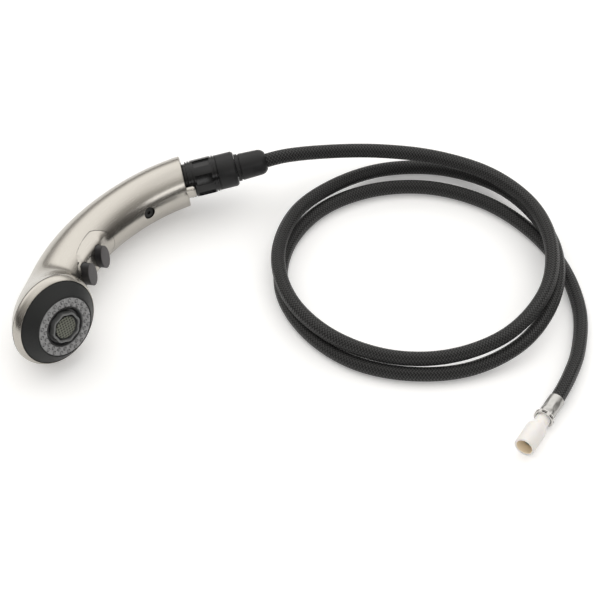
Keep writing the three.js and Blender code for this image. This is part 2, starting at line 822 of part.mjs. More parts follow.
const nipple = turned([
  [NIPPLE_BORE, flangeStart],
  [NIPPLE_FLANGE_RADIUS, flangeStart],
  [NIPPLE_FLANGE_RADIUS, flangeEnd],
  [NIPPLE_RADIUS, flangeEnd],
  [NIPPLE_RADIUS, nippleEnd],
  [NIPPLE_BORE, nippleEnd],
]);
add(collarFrame, "inlet_nipple", nipple, whiteAcetal());

// The strain relief: a fluted shoulder, a barrel and a nose that the hose leaves through.
function strainRelief() {
  const shoulderTop = reliefStart + 2.3;
  const profile = [
    [NIPPLE_RADIUS + GAP, reliefStart],
    [RELIEF_RADIUS + 0.2, reliefStart],
    [RELIEF_RADIUS + 0.2, shoulderTop],
    [RELIEF_RADIUS - 0.5, shoulderTop],
    [RELIEF_RADIUS - 0.5, shoulderTop + 0.6],
    [RELIEF_RADIUS, shoulderTop + 0.9],
    [RELIEF_RADIUS - 0.5, reliefEnd - RELIEF_NOSE],
    [RELIEF_RADIUS - 0.9, reliefEnd - RELIEF_NOSE + 1.4],
    [RELIEF_RADIUS - 1.9, reliefEnd - 1.2],
    [HOSE_RADIUS + 1.1, reliefEnd - 0.2],
    [HOSE_RADIUS + 0.8, reliefEnd],
    [HOSE_RADIUS + GAP, reliefEnd],
    [HOSE_RADIUS + GAP, reliefEnd - RELIEF_SOCKET],
    [NIPPLE_BORE, reliefEnd - RELIEF_SOCKET],
    [NIPPLE_BORE, nippleEnd + GAP],
    [NIPPLE_RADIUS + GAP, nippleEnd + GAP],
  ];
  let body = solid(turned(profile, 20));
  const flutes = 10;
  for (let i = 0; i < flutes; i += 1) {
    const flute = new THREE.BoxGeometry(1.2, 2 * 2.3, 1.6).translate(RELIEF_RADIUS + 0.4, reliefStart, 0);
    flute.rotateY(((i + 0.5) / flutes) * 2 * Math.PI);
    body = body.subtract(solid(flute));
  }
  return drawn(body);
}

add(collarFrame, "strain_relief", strainRelief(), blackPlastic());

// ---------------------------------------------------------------- head

// Heights are above the head's centre: the band's front edge is at 0 and the face stands above it.
const bandInner = RIM_RADIUS - BAND_WALL;
const rimBand = turned(
  [
    [bandInner, -BAND_WIDTH + GAP],
    [RIM_RADIUS, -BAND_WIDTH + GAP],
    [RIM_RADIUS, -BAND_WIDTH + 1.6],
    [RIM_RADIUS - 0.35, -BAND_WIDTH + 2.8],
    [RIM_RADIUS - 1.2, -1.4],
    [bandInner + 0.25, -0.1],
    [bandInner, -0.3],
  ],
  36,
);
add(headFrame, "rim_band", rimBand, brushedNickel());

const faceRadius = bandInner - GAP;
const nozzleSeat = FACE_HEIGHT - 2;
const plateTop = nozzleSeat - GAP;
const plateBottom = plateTop - SPRAY_PLATE_THICKNESS;
const plateRadius = NOZZLE_OUTER + 1.4;
const faceRing = turned(
  [
    [FACE_SKIRT_RADIUS - FACE_WALL, -FACE_SKIRT_LENGTH],
    [FACE_SKIRT_RADIUS, -FACE_SKIRT_LENGTH],
    [FACE_SKIRT_RADIUS, -BAND_WIDTH + GAP],
    [faceRadius, -BAND_WIDTH + GAP],
    [faceRadius, -0.3],
    [faceRadius - 0.4, 0.5],
    [faceRadius - 3.6, 3.9],
    [NOZZLE_OUTER + 1.3, FACE_HEIGHT - 0.35],
    [NOZZLE_OUTER + 0.7, FACE_HEIGHT],
    [NOZZLE_OUTER + GAP, FACE_HEIGHT - 0.1],
    [NOZZLE_OUTER + GAP, nozzleSeat],
    [plateRadius + GAP, nozzleSeat],
    [plateRadius + GAP, plateBottom - 0.4],
    [FACE_SKIRT_RADIUS - FACE_WALL, plateBottom - 2],
  ],
  36,
);
add(headFrame, "face_ring", faceRing, charcoal());

// The nozzle ring, with a bored nub at every jet.
function nozzleRing() {
  const top = nozzleSeat + NOZZLE_THICKNESS;
  const base = turned(
    [
      [NOZZLE_INNER, nozzleSeat],
      [NOZZLE_OUTER, nozzleSeat],
      [NOZZLE_OUTER, top - 0.4],
      [NOZZLE_OUTER - 0.4, top],
      [NOZZLE_INNER + 0.4, top],
      [NOZZLE_INNER, top - 0.4],
    ],
    32,
  );
  const jets = [];
  NUB_ROWS.forEach((radius, row) => {
    for (let i = 0; i < NUBS_PER_ROW; i += 1) {
      const angle = ((i + row / 2) / NUBS_PER_ROW) * 2 * Math.PI;
      jets.push([radius * Math.cos(angle), radius * Math.sin(angle)]);
    }
  });
  const nub = new THREE.CylinderGeometry(NUB_TIP, NUB_BASE, NUB_HEIGHT + 0.3, 5);
  nub.translate(0, top + NUB_HEIGHT / 2 - 0.15, 0);
  const bore = new THREE.CylinderGeometry(NUB_BORE, NUB_BORE, NOZZLE_THICKNESS + NUB_HEIGHT + 2, 4);
  bore.translate(0, (nozzleSeat + top + NUB_HEIGHT) / 2, 0);
  let body = solid(base);
  for (const [x, z] of jets) body = body.add(solid(nub.clone().translate(x, 0, z)));
  for (const [x, z] of jets) body = body.subtract(solid(bore.clone().translate(x, 0, z)));
  return drawn(body);
}

add(headFrame, "nozzle_ring", nozzleRing(), greyRubber());

const barrelRadius = AERATOR_BORE + AERATOR_CUP_WALL;

function sprayPlate() {
  let body = solid(ring(barrelRadius + GAP, plateRadius, plateBottom, plateTop, 24));
  const feeds = 6;
  const feedCircle = (NOZZLE_INNER + NOZZLE_OUTER) / 2;
  for (let i = 0; i < feeds; i += 1) {
    const angle = (i / feeds) * 2 * Math.PI;
    const feed = ring(0, 1.4, plateBottom - 1, plateTop + 1, 8);
    feed.translate(feedCircle * Math.cos(angle), 0, feedCircle * Math.sin(angle));
    body = body.subtract(solid(feed));
  }
  return drawn(body);
}

add(headFrame, "spray_plate", sprayPlate(), blackPlastic());

// The aerator cup: a recess in the face, and a barrel down to the diverter.
const cupFloor = FACE_HEIGHT - AERATOR_CUP_DEPTH;
const barrelBottom = -FACE_SKIRT_LENGTH + 1.5;
const washerShelf = barrelBottom + 3.5;
const aeratorHousing = turned(
  [
    [AERATOR_BORE - 2.6, barrelBottom],
    [barrelRadius, barrelBottom],
    [barrelRadius, nozzleSeat],
    [AERATOR_CUP_RADIUS, nozzleSeat],
    [AERATOR_CUP_RADIUS, FACE_HEIGHT - 0.1],
    [AERATOR_CUP_RADIUS - 0.3, FACE_HEIGHT + 0.1],
    [AERATOR_CUP_RADIUS - 0.6, FACE_HEIGHT - 0.1],
    [barrelRadius + 0.3, cupFloor],
    [AERATOR_BORE, cupFloor],
    [AERATOR_BORE, washerShelf],
    [AERATOR_BORE - 2.6, washerShelf],
  ],
  24,
);
add(headFrame, "aerator_housing", aeratorHousing, blackPlastic());

const aeratorWasherTop = washerShelf + GAP + 1.4;
add(
  headFrame,
  "aerator_washer",
  ring(AERATOR_BORE - 2.5, AERATOR_BORE - GAP, washerShelf + GAP, aeratorWasherTop),
  blackRubber(),
);

// A closed curve round the aerator ring that swells out at each lobe.
function lobed(radius, swell) {
  const points = [];
  const count = AERATOR_LOBES * 6;
  for (let i = 0; i < count; i += 1) {
    const angle = (i / count) * 2 * Math.PI;
    const reach = radius + swell * Math.cos(AERATOR_LOBES * angle);
    points.push(new THREE.Vector2(reach * Math.cos(angle), reach * Math.sin(angle)));
  }
  return points;
}

function aeratorRing() {
  const grip = new THREE.Shape(lobed(10.3, 0.35));
  grip.holes.push(new THREE.Path(lobed(9.15, 0.25)));
  const skirtBottom = aeratorWasherTop + GAP;
  const skirt = ring(SCREEN_RADIUS + GAP, AERATOR_BORE - GAP, skirtBottom, cupFloor + 1.4);
  return drawn(solid(raised(grip, cupFloor + GAP, AERATOR_STANDS)).add(solid(skirt)));
}

add(headFrame, "aerator_ring", aeratorRing(), greyRubber());

// The aerator's insert and the screen on top of it: discs drilled with rings of holes.
function drilledDisc(radius, bottom, top, rings, pitch, holeRadius) {
  let body = solid(ring(0, radius, bottom, top, 20));
  for (let r = 0; r <= rings; r += 1) {
    const count = Math.max(1, 6 * r);
    for (let i = 0; i < count; i += 1) {
      const angle = (i / count) * 2 * Math.PI;
      const hole = ring(0, holeRadius, bottom - 1, top + 1, 6);
      hole.translate(pitch * r * Math.cos(angle), 0, pitch * r * Math.sin(angle));
      body = body.subtract(solid(hole));
    }
  }
  return drawn(body);
}

const screenTop = AERATOR_STANDS - 0.5;
const screenBottom = screenTop - 0.8;
add(
  headFrame,
  "aerator_screen",
  drilledDisc(SCREEN_RADIUS, screenBottom, screenTop, 2, 3, 1),
  stainlessSteel(),
);
add(
  headFrame,
  "aerator_insert",
  drilledDisc(SCREEN_RADIUS, aeratorWasherTop + GAP, screenBottom - GAP, 1, 4.6, 1.5),
  whiteAcetal(),
);

// The diverter splits the water: its middle feeds the aerator, its holes the spray chamber.
const gasketTop = -FACE_SKIRT_LENGTH - GAP;
const gasketBottom = gasketTop - 1;
const diverterTop = barrelBottom - GAP;
const diverterInlet = gasketBottom - 8;
const inletRadius = 6;
const FLANGE_CLEARANCE = 1.1;

function diverterBody() {
  const flangeHigh = gasketBottom - GAP;
  const flangeLow = flangeHigh - 1.8;
  const flangeRadius = bellRoom(flangeLow) - FLANGE_CLEARANCE;
  const profile = [
    [3.5, diverterInlet],
    [inletRadius, diverterInlet],
    [inletRadius, flangeLow - 3],
    [inletRadius + 4, flangeLow],
    [flangeRadius, flangeLow],
    [flangeRadius, flangeHigh],
    [FACE_SKIRT_RADIUS - FACE_WALL - 0.9, flangeHigh],
    [FACE_SKIRT_RADIUS - FACE_WALL - 0.9, diverterTop],
    [3.5, diverterTop],
  ];
  let body = solid(turned(profile, 24));
  const ports = 4;
  for (let i = 0; i < ports; i += 1) {
    const angle = (i / ports) * 2 * Math.PI;
    const port = ring(0, 1.8, flangeLow - 4, diverterTop + 1, 8);
    port.translate(17 * Math.cos(angle), 0, 17 * Math.sin(angle));
    body = body.subtract(solid(port));
  }
  return drawn(body);
}

add(headFrame, "diverter_body", diverterBody(), blackPlastic());
add(
  headFrame,
  "face_gasket",
  ring(FACE_SKIRT_RADIUS - FACE_WALL - 0.5, FACE_SKIRT_RADIUS - 1.2, gasketBottom, gasketTop, 24),
  blackRubber(),
);

// The outlet tube bends from the valve block onto the head's axis.
function outletTube() {
  const from = onLine(blockTo + GAP);
  const ahead = heading(from.heading);
  const start = new THREE.Vector2(from.x, from.y);
  const end = headCentre.clone().addScaledVector(heading(faceHeading), diverterInlet - GAP);
  const bend = new THREE.CubicBezierCurve(
    start,
    start.clone().addScaledVector(ahead, 12),
    end.clone().addScaledVector(heading(faceHeading), -13),
    end,
  );
  const sections = (radius, overrun) =>
    Array.from({ length: 8 }, (_, i) => {
      const tangent = bend.getTangent(i / 7);
      const centre = bend.getPoint(i / 7);
      if (i === 0) centre.addScaledVector(tangent, -overrun);
      if (i === 7) centre.addScaledVector(tangent, overrun);
      return { centre, across: new THREE.Vector2(-tangent.y, tangent.x), radius };
    });
  return drawn(
    solid(loft(sections(inletRadius, 0), 12)).subtract(solid(loft(sections(inletRadius - 2, 1), 8))),
  );
}

add(wand, "outlet_tube", outletTube(), blackPlastic());

// ---------------------------------------------------------------- hose and its end fitting

wand.updateMatrixWorld(true);

// The hose leaves along the collar axis. The rest of its route over the table is chosen by hand:
// it rises over its own turns where they cross, and lies on the table between.
const hoseStart = new THREE.Vector3(0, reliefEnd - RELIEF_SOCKET + GAP, 0);
const hoseAhead = hoseStart.clone().add(new THREE.Vector3(0, 14, 0));
collarFrame.localToWorld(hoseStart);
collarFrame.localToWorld(hoseAhead);
const HOSE_ROUTE = [
  [70, 134, 31.5], [101, 159, 26.5], [137, 176.5, 23], [177, 180.5, 22.5], [214.5, 167, 24],
  [242, 139.5, 25.5], [256.5, 103, 23.5], [251, 62, 18.5], [226, 31, 12.5], [191, 13, 10],
  [151, 7.5, 12.9], [113.5, 20, 15], [86, 49.5, 15.5], [76, 88.5, 15], [83, 127, 11],
  [102.5, 162, 6.5], [135, 183.5, 5.5], [175, 187, 8], [212, 171.5, 13.5], [243, 145.5, 15],
  [260, 110, 13.5], [260, 68.5, 10], [240.5, 34, 6], [208.5, 10, 5], [170.5, -0.5, 5],
  [131, 8, 5], [99, 32, 5], [82.5, 68, 5], [84.5, 108, 5], [104.5, 141.5, 5], [137, 164, 5],
  [176, 171, 5], [215, 163, 5], [249.5, 143.5, 5], [277.5, 113, 5], [292.5, 80, 5.5],
  [297, 59, 6.5], [298.5, 46, 7], [299, 36.5, 7],
];
const HOSE_SIDES = 8;
const HOSE_STEPS = 68;

function hose() {
  const route = HOSE_ROUTE.map((point) => new THREE.Vector3(...point));
  return new THREE.ExtrudeGeometry(polygon(HOSE_RADIUS, HOSE_SIDES), {
    steps: HOSE_STEPS,
    extrudePath: new THREE.CatmullRomCurve3([hoseStart, hoseAhead, ...route]),
  });
}

const object = new THREE.Group();
object.add(wand);
add(object, "hose", hose(), blackPlastic());

// The end fitting lies on the table in line with the hose's end, its mouth towards -Y.
const endFrame = new THREE.Group();
endFrame.position.set(...HOSE_ROUTE.at(-1));
endFrame.rotation.z = Math.PI;
object.add(endFrame);

const clipStart = GAP + FERRULE_LENGTH + GAP;
const neckStart = clipStart;
const connectorEnd = neckStart + CONNECTOR_LENGTH;
const shoulder = clipStart + CLIP_LENGTH + 6;

// The ferrule is crimped in six places round its middle.
function crimpFerrule() {
  const end = GAP + FERRULE_LENGTH;
  let body = solid(
    turned([
      [NIPPLE_BORE, GAP],
      [FERRULE_RADIUS - 0.3, GAP],
      [FERRULE_RADIUS, GAP + 0.4],
      [FERRULE_RADIUS, end - 1.5],
      [FERRULE_RADIUS - 0.7, end],
      [NIPPLE_BORE, end],
    ]),
  );
  const crimps = 6;
  for (let i = 0; i < crimps; i += 1) {
    const crimp = new THREE.CylinderGeometry(1.6, 1.6, 4.4, 6).rotateX(Math.PI / 2);
    crimp.scale(1, 2, 0.5).translate(FERRULE_RADIUS + 1.2, GAP + FERRULE_LENGTH / 2, 0);
    crimp.rotateY((i / crimps) * 2 * Math.PI);
    body = body.subtract(solid(crimp));
  }
  return drawn(body);
}

add(endFrame, "crimp_ferrule", crimpFerrule(), stainlessSteel());

// The spring clip: a flared ring with slots, over the connector's neck.
function retainingClip() {
  const inner = CONNECTOR_NECK + GAP;
  let body = solid(
    turned([
      [inner, clipStart],
      [inner + 0.5, clipStart],
      [CLIP_RADIUS, clipStart + 1.6],
      [CLIP_RADIUS, clipStart + CLIP_LENGTH],
      [CLIP_RADIUS - 0.8, clipStart + CLIP_LENGTH],
      [inner, clipStart + CLIP_LENGTH - 0.8],
    ]),
  );
  const slots = 5;
  for (let i = 0; i < slots; i += 1) {
    const slot = new THREE.BoxGeometry(1.6, 1, 3.4).translate(CLIP_RADIUS, clipStart + 2.4, 0);
    slot.rotateY(((i + 0.5) / slots) * 2 * Math.PI);
    body = body.subtract(solid(slot));
  }
  return drawn(body);
}

add(endFrame, "retaining_clip", retainingClip(), stainlessSteel());

const mouthFloor = connectorEnd - MOUTH_DEPTH;
const sealGroove = connectorEnd - 8;
const quickConnector = turned(
  [
    [NIPPLE_BORE - 0.4, neckStart],
    [CONNECTOR_NECK, neckStart],
    [CONNECTOR_NECK, shoulder],
    [CONNECTOR_NECK + 0.6, shoulder + 0.4],
    [CONNECTOR_RADIUS - 0.5, shoulder + 2.6],
    [CONNECTOR_RADIUS, shoulder + 4],
    [CONNECTOR_RADIUS, connectorEnd - 0.5],
    [CONNECTOR_RADIUS - 0.3, connectorEnd],
    [MOUTH_RADIUS + 0.2, connectorEnd],
    [MOUTH_RADIUS, connectorEnd - 0.4],
    [MOUTH_RADIUS - 0.2, sealGroove + 0.9],
    [MOUTH_RADIUS + 0.6, sealGroove + 0.9],
    [MOUTH_RADIUS + 0.6, sealGroove - 0.9],
    [MOUTH_RADIUS - 0.4, sealGroove - 0.9],
    [MOUTH_RADIUS - 0.8, mouthFloor],
    [NIPPLE_BORE - 0.4, mouthFloor],
  ],
  20,
);
add(endFrame, "quick_connector", quickConnector, whiteAcetal());
add(
  endFrame,
  "connector_o_ring",
  oRing(MOUTH_RADIUS - 0.2, 0.6, sealGroove),
  blackRubber(),
);

export default object;
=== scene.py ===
import math
import bmesh
import bpy
from mathutils import Euler, Matrix, Vector
from mathutils.geometry import interpolate_bezier


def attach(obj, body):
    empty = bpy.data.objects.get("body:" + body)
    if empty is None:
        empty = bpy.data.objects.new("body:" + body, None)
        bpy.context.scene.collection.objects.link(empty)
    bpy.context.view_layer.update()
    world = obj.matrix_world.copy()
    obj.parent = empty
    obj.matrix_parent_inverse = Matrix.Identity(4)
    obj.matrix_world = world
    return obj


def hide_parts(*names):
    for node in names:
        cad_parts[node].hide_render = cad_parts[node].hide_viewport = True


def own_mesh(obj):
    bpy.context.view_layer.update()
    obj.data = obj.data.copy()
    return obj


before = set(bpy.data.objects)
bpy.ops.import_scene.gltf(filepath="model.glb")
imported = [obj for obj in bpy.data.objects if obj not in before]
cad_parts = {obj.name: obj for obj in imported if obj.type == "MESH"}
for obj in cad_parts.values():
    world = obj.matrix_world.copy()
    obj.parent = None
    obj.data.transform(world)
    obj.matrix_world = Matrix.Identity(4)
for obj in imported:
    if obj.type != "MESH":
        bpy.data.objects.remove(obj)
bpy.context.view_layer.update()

# ------------------------------------------------------------------ camera

# A long lens from the front right and well above, aimed at the table between wand and hose.
AIM = Vector((0.11143, 0.03443, 0.0))
AIM_DISTANCE = 1.9
CAMERA_TURN = Euler((math.radians(-47.5), 0, math.radians(30)))
toward_camera = CAMERA_TURN.to_matrix() @ Vector((0, -1, 0))
camera = bpy.data.objects.new("camera", bpy.data.cameras.new("camera"))
bpy.context.scene.collection.objects.link(camera)
camera.data.sensor_width = 36
camera.data.lens = 172.8
camera.data.clip_end = 20
camera.location = AIM + toward_camera * AIM_DISTANCE
camera.rotation_euler = (-toward_camera).to_track_quat("-Z", "Y").to_euler()
bpy.context.scene.camera = camera
bpy.context.scene.view_settings.view_transform = "Standard"

# ------------------------------------------------------------------ braided hose

# EPDM hose in a tight sleeve of black nylon yarn, braided one over one. It leaves the strain
# relief along the collar, lies on the table in two loops that climb over each other, and ends
# in a crimped quick connector. Its route and steps are in metres.
HOSE_RADIUS = 4.75
HOSE_SIDES = 24
HOSE_STEP = 0.0025
HOSE_ROUTE = [
    (0.04101, 0.1075, 0.03123), (0.05147, 0.11654, 0.03345),
    (0.070, 0.134, 0.0315), (0.101, 0.159, 0.0265), (0.137, 0.1765, 0.023),
    (0.177, 0.1805, 0.0225), (0.2145, 0.167, 0.024), (0.242, 0.1395, 0.0255),
    (0.2565, 0.103, 0.0235), (0.251, 0.062, 0.0185), (0.226, 0.0305, 0.0131),
    (0.191, 0.0108, 0.0121), (0.151, 0.0058, 0.0145), (0.1135, 0.0192, 0.0158),
    (0.086, 0.0495, 0.0155), (0.076, 0.0885, 0.015), (0.083, 0.127, 0.011),
    (0.1025, 0.162, 0.0065), (0.135, 0.1835, 0.0055), (0.175, 0.187, 0.008),
    (0.212, 0.1715, 0.0135), (0.243, 0.1455, 0.015), (0.260, 0.110, 0.0135),
    (0.260, 0.0685, 0.010), (0.2405, 0.0343, 0.0058), (0.2085, 0.0108, 0.005),
    (0.1705, 0.0007, 0.005), (0.131, 0.0088, 0.005), (0.099, 0.032, 0.005),
    (0.0825, 0.068, 0.005), (0.0845, 0.108, 0.005), (0.1045, 0.1415, 0.005),
    (0.137, 0.164, 0.005), (0.176, 0.171, 0.005), (0.215, 0.163, 0.005),
    (0.2495, 0.1435, 0.005), (0.2775, 0.113, 0.005), (0.2925, 0.080, 0.0055),
    (0.297, 0.059, 0.0065), (0.2985, 0.046, 0.007), (0.299, 0.0365, 0.007),
]


def smooth_line(points, spacing):
    """A centripetal spline through the points, cut into steps of about this spacing."""
    points = [Vector(p) for p in points]
    ends = [2 * points[0] - points[1], *points, 2 * points[-1] - points[-2]]
    line = []
    for a, b, c, d in zip(ends, ends[1:], ends[2:], ends[3:]):
        ab, bc, cd = ((q - p).length ** 0.5 for p, q in ((a, b), (b, c), (c, d)))
        leave = ((b - a) / ab - (c - a) / (ab + bc) + (c - b) / bc) * bc / 3
        arrive = ((c - b) / bc - (d - b) / (bc + cd) + (d - c) / cd) * bc / 3
        steps = max(2, round((c - b).length / spacing))
        line += interpolate_bezier(b, b + leave, c - arrive, c, steps + 1)[:-1]
    return line + [points[-1]]


def linear(hex_colour):
    """An sRGB hex colour as linear RGBA."""
    parts = [int(hex_colour[i : i + 2], 16) / 255 for i in (1, 3, 5)]
    return [p / 12.92 if p <= 0.04045 else ((p + 0.055) / 1.055) ** 2.4 for p in parts] + [1]


def add_node(material, kind, links=None, tones=(), **settings):
    """Adds a node with its properties, inputs and ramp of tones, and links the given inputs."""
    tree = material.node_tree
    node = tree.nodes.new("ShaderNode" + kind)
    for name, value in settings.items():
        if hasattr(node, name) and not name[0].isupper():
            setattr(node, name, value)
        else:
            key = int(name[2:]) if name.startswith("IN") else name.replace("_", " ")
            node.inputs[key].default_value = value
    for position, _ in tones[1:-1]:
        node.color_ramp.elements.new(position)
    for place, (position, colour) in enumerate(tones):
        node.color_ramp.elements[place].position = position
        node.color_ramp.elements[place].color = linear(colour)
    for name, source in (links or {}).items():
        tree.links.new(source, node.inputs[name])
    return node


def new_material(name, colour, roughness, metallic=0.0, **surface):
    """A material with a Principled surface, whose other sockets are set by name."""
    material = bpy.data.materials.new(name)
    material.use_nodes = True
    sockets = material.node_tree.nodes["Principled BSDF"].inputs
    sockets["Base Color"].default_value = linear(colour)
    sockets["Roughness"].default_value = roughness
    sockets["Metallic"].default_value = metallic
    for socket, value in surface.items():
        sockets[socket.replace("_", " ")].default_value = value
    return material


def to_surface(material, **sources):
    """Links what nodes give to the sockets of the material's surface."""
    sockets = material.node_tree.nodes["Principled BSDF"].inputs
    for socket, source in sources.items():
        material.node_tree.links.new(source, sockets[socket.replace("_", " ")])


CREASE = 35


def finish_piece(bm, name, place, materials, crease=CREASE):
    """Puts a finished bmesh in its place, smooth below the crease angle, as a named piece."""
    bmesh.ops.transform(bm, matrix=place, verts=bm.verts)
    if place.determinant() < 0:
        bmesh.ops.reverse_faces(bm, faces=bm.faces)
    mesh = bpy.data.meshes.new(name)
    bm.to_mesh(mesh)
    bm.free()
    mesh.shade_smooth()
    mesh.set_sharp_from_angle(angle=math.radians(crease))
    for material in materials:
        mesh.materials.append(material)
    piece = bpy.data.objects.new(name, mesh)
    bpy.context.scene.collection.objects.link(piece)
    return piece


# Yarn: bright-dull nylon, dyed black. Ten carriers turn each way, 2.1 mm apart along the hose, so
# the eye gets rows of small glints, one for each yarn that passes over its neighbour. Besides the
# bump, each yarn's crown is painted lighter as a painted highlight and its dips darker as painted
# shade.
CARRIERS = 10
CROSSING = 0.0021
braided_nylon = new_material(
    "braided_nylon", "#1c1c1c", 0.36, IOR=1.53, Specular_IOR_Level=0.25,
)
laid = add_node(braided_nylon, "UVMap", uv_map="laid").outputs["UV"]
laid_axes = add_node(braided_nylon, "SeparateXYZ", {"Vector": laid}).outputs
turns = add_node(braided_nylon, "Math", {0: laid_axes["X"]}, operation="MULTIPLY", IN1=CARRIERS)
crossings = add_node(braided_nylon, "Math", {0: laid_axes["Y"]}, operation="DIVIDE", IN1=CROSSING)
turns_and_crossings = {0: turns.outputs[0], 1: crossings.outputs[0]}
yarns, crowns = [], []
for lay in ("ADD", "SUBTRACT"):
    yarn = add_node(braided_nylon, "Math", turns_and_crossings, operation=lay).outputs[0]
    wave = add_node(braided_nylon, "Math", {0: yarn}, operation="PINGPONG", IN1=0.5).outputs[0]
    crown = add_node(braided_nylon, "Math", {0: wave}, operation="MULTIPLY", IN1=2.0).outputs[0]
    yarns.append(yarn)
    crowns.append(crown)
grid = add_node(braided_nylon, "CombineXYZ", {"X": yarns[0], "Y": yarns[1]}, Z=0.25)
over = add_node(braided_nylon, "TexChecker", {"Vector": grid.outputs[0]}, Scale=1.0)
yarn_height = add_node(
    braided_nylon, "Mix", {0: over.outputs["Fac"], 2: crowns[0], 3: crowns[1]}, data_type="FLOAT",
).outputs[0]
# Painted highlight on the yarn crowns and painted shade in the dips between yarns.
yarn_glint_and_shade = add_node(
    braided_nylon, "ValToRGB", {"Fac": yarn_height}, tones=((0.3, "#040404"), (0.95, "#454545")),
)
relief = add_node(braided_nylon, "Bump", {"Height": yarn_height}, Strength=0.6, Distance=0.0005)
to_surface(braided_nylon, Base_Color=yarn_glint_and_shade.outputs["Color"], Normal=relief.outputs["Normal"])


def push_circle(places, sides):
    """A tube, open at both ends: a unit circle pushed through its places, one after another."""
    bm = bmesh.new()
    bmesh.ops.create_circle(bm, segments=sides, radius=1)
    verts, edges, last = bm.verts[:], bm.edges[:], Matrix.Identity(4)
    for step, place in enumerate(places):
        if step:
            made = bmesh.ops.extrude_edge_only(bm, edges=edges)["geom"]
            verts = [v for v in made if isinstance(v, bmesh.types.BMVert)]
            edges = [e for e in made if isinstance(e, bmesh.types.BMEdge) and e.is_boundary]
        bmesh.ops.transform(bm, matrix=place @ last.inverted(), verts=verts)
        last = place
    return bm


# The sleeve's rings stand square to the route, each turned as little as it can be from the last.
# Its UV map holds the share of a turn round the hose, and the metres along it.
hose_line = smooth_line(HOSE_ROUTE, HOSE_STEP)
hose_scale = Vector((HOSE_RADIUS / 1000, HOSE_RADIUS / 1000, 1))
turn = (hose_line[1] - hose_line[0]).to_track_quat("Z", "Y")
rings, travelled = [], [0.0]
for before, point, after in zip(
    [hose_line[0], *hose_line], hose_line, [*hose_line[1:], hose_line[-1]],
):
    turn = (turn @ Vector((0, 0, 1))).rotation_difference(after - before) @ turn
    rings.append(Matrix.LocRotScale(point, turn, hose_scale))
    travelled.append(travelled[-1] + (after - point).length)
bm = push_circle(rings, HOSE_SIDES)
bmesh.ops.recalc_face_normals(bm, faces=bm.faces)
laid_on = bm.loops.layers.uv.new("laid")
bm.verts.index_update()
for face in bm.faces:
    sides = []
    for loop in face.loops:
        round_it = rings[loop.vert.index // HOSE_SIDES].inverted() @ loop.vert.co
        sides.append(math.atan2(round_it.y, round_it.x) / math.tau % 1)
    wraps = max(sides) - min(sides) > 0.5
    for loop, side in zip(face.loops, sides):
        side += wraps and side < 0.5
        loop[laid_on].uv = (side, travelled[loop.vert.index // HOSE_SIDES])
bmesh.ops.holes_fill(bm, edges=[e for e in bm.edges if e.is_boundary])
hose = finish_piece(bm, "hose_sleeve", Matrix.Identity(4), [braided_nylon])
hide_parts("hose")
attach(hose, "hose_end")

# ------------------------------------------------------------------ hose end

# A stainless ferrule is crimped round the end of the hose, and a sprung clip ring holds the
# moulded connector to it. They lie in line with the hose, and heights in this frame run out of
# its end.
MM = Matrix.Scale(0.001, 4)
hose_tip = Matrix.Translation(HOSE_ROUTE[-1]) @ Matrix.Rotation(math.radians(90), 4, "X") @ MM
GAP = 0.3
INSERT_RADIUS = 3.2
FERRULE_RADIUS = 5.5
FERRULE_END = GAP + 15
JAWS = 8
SQUEEZE, SQUEEZE_AT, SQUEEZE_REACH = 0.6, GAP + 8.5, 2.6
CLIP_START = FERRULE_END + GAP
CLIP_END = CLIP_START + 4
CLIP_RADIUS = 6.7
CLIP_SLOTS = 7
NECK_RADIUS = 4.9
SHOULDER = CLIP_END + 6
CONNECTOR_RADIUS = 7
CONNECTOR_BORE = 2.8
CONNECTOR_END = CLIP_START + 30.3
CONNECTOR_FLOOR = CONNECTOR_END - 12
MOUTH_RADIUS = 5.6
SEAL_GROOVE = 5.9


def turned(corners, segments=64, closed=True):
    """A shape turned about Z. Each corner is a radius, a height and how much it is rounded."""
    bm = bmesh.new()
    verts = [bm.verts.new((corner[0], 0, corner[1])) for corner in corners]
    for a, b in zip(verts, verts[1:] + verts[:1] if closed else verts[1:]):
        bm.edges.new((a, b))
    for vert, corner in zip(verts, corners):
        if len(corner) > 2:
            bmesh.ops.bevel(
                bm, geom=[vert], offset=corner[2], affect="VERTICES", segments=3, profile=0.5,
                material=-1,
            )
    bmesh.ops.spin(
        bm, geom=bm.verts[:] + bm.edges[:], cent=(0, 0, 0), axis=(0, 0, 1),
        angle=2 * math.pi, steps=segments, use_merge=True,
    )
    bmesh.ops.remove_doubles(bm, verts=bm.verts, dist=0.001)
    bmesh.ops.recalc_face_normals(bm, faces=bm.faces)
    return bm


def blocks_round(size, at, turns):
    """Blocks of one size to cut with, each put at one place and turned about Z by its degrees."""
    bm = bmesh.new()
    for turn in turns:
        block = bmesh.ops.create_cube(bm, size=1)["verts"]
        bmesh.ops.scale(bm, vec=size, verts=block)
        bmesh.ops.translate(bm, vec=at, verts=block)
        bmesh.ops.rotate(bm, matrix=Matrix.Rotation(math.radians(turn), 3, "Z"), verts=block)
    return bm


def cut(piece, cutter, operation="DIFFERENCE"):
    """Cuts a piece with another, which is used up, and makes edges sharp above the crease angle."""
    step = piece.modifiers.new("cut", "BOOLEAN")
    step.operation = operation
    step.solver = "EXACT"
    step.object = cutter
    result = bpy.data.meshes.new_from_object(
        piece.evaluated_get(bpy.context.evaluated_depsgraph_get())
    )
    piece.modifiers.clear()
    result.set_sharp_from_angle(angle=math.radians(CREASE))
    piece.data = result
    bpy.data.objects.remove(cutter)


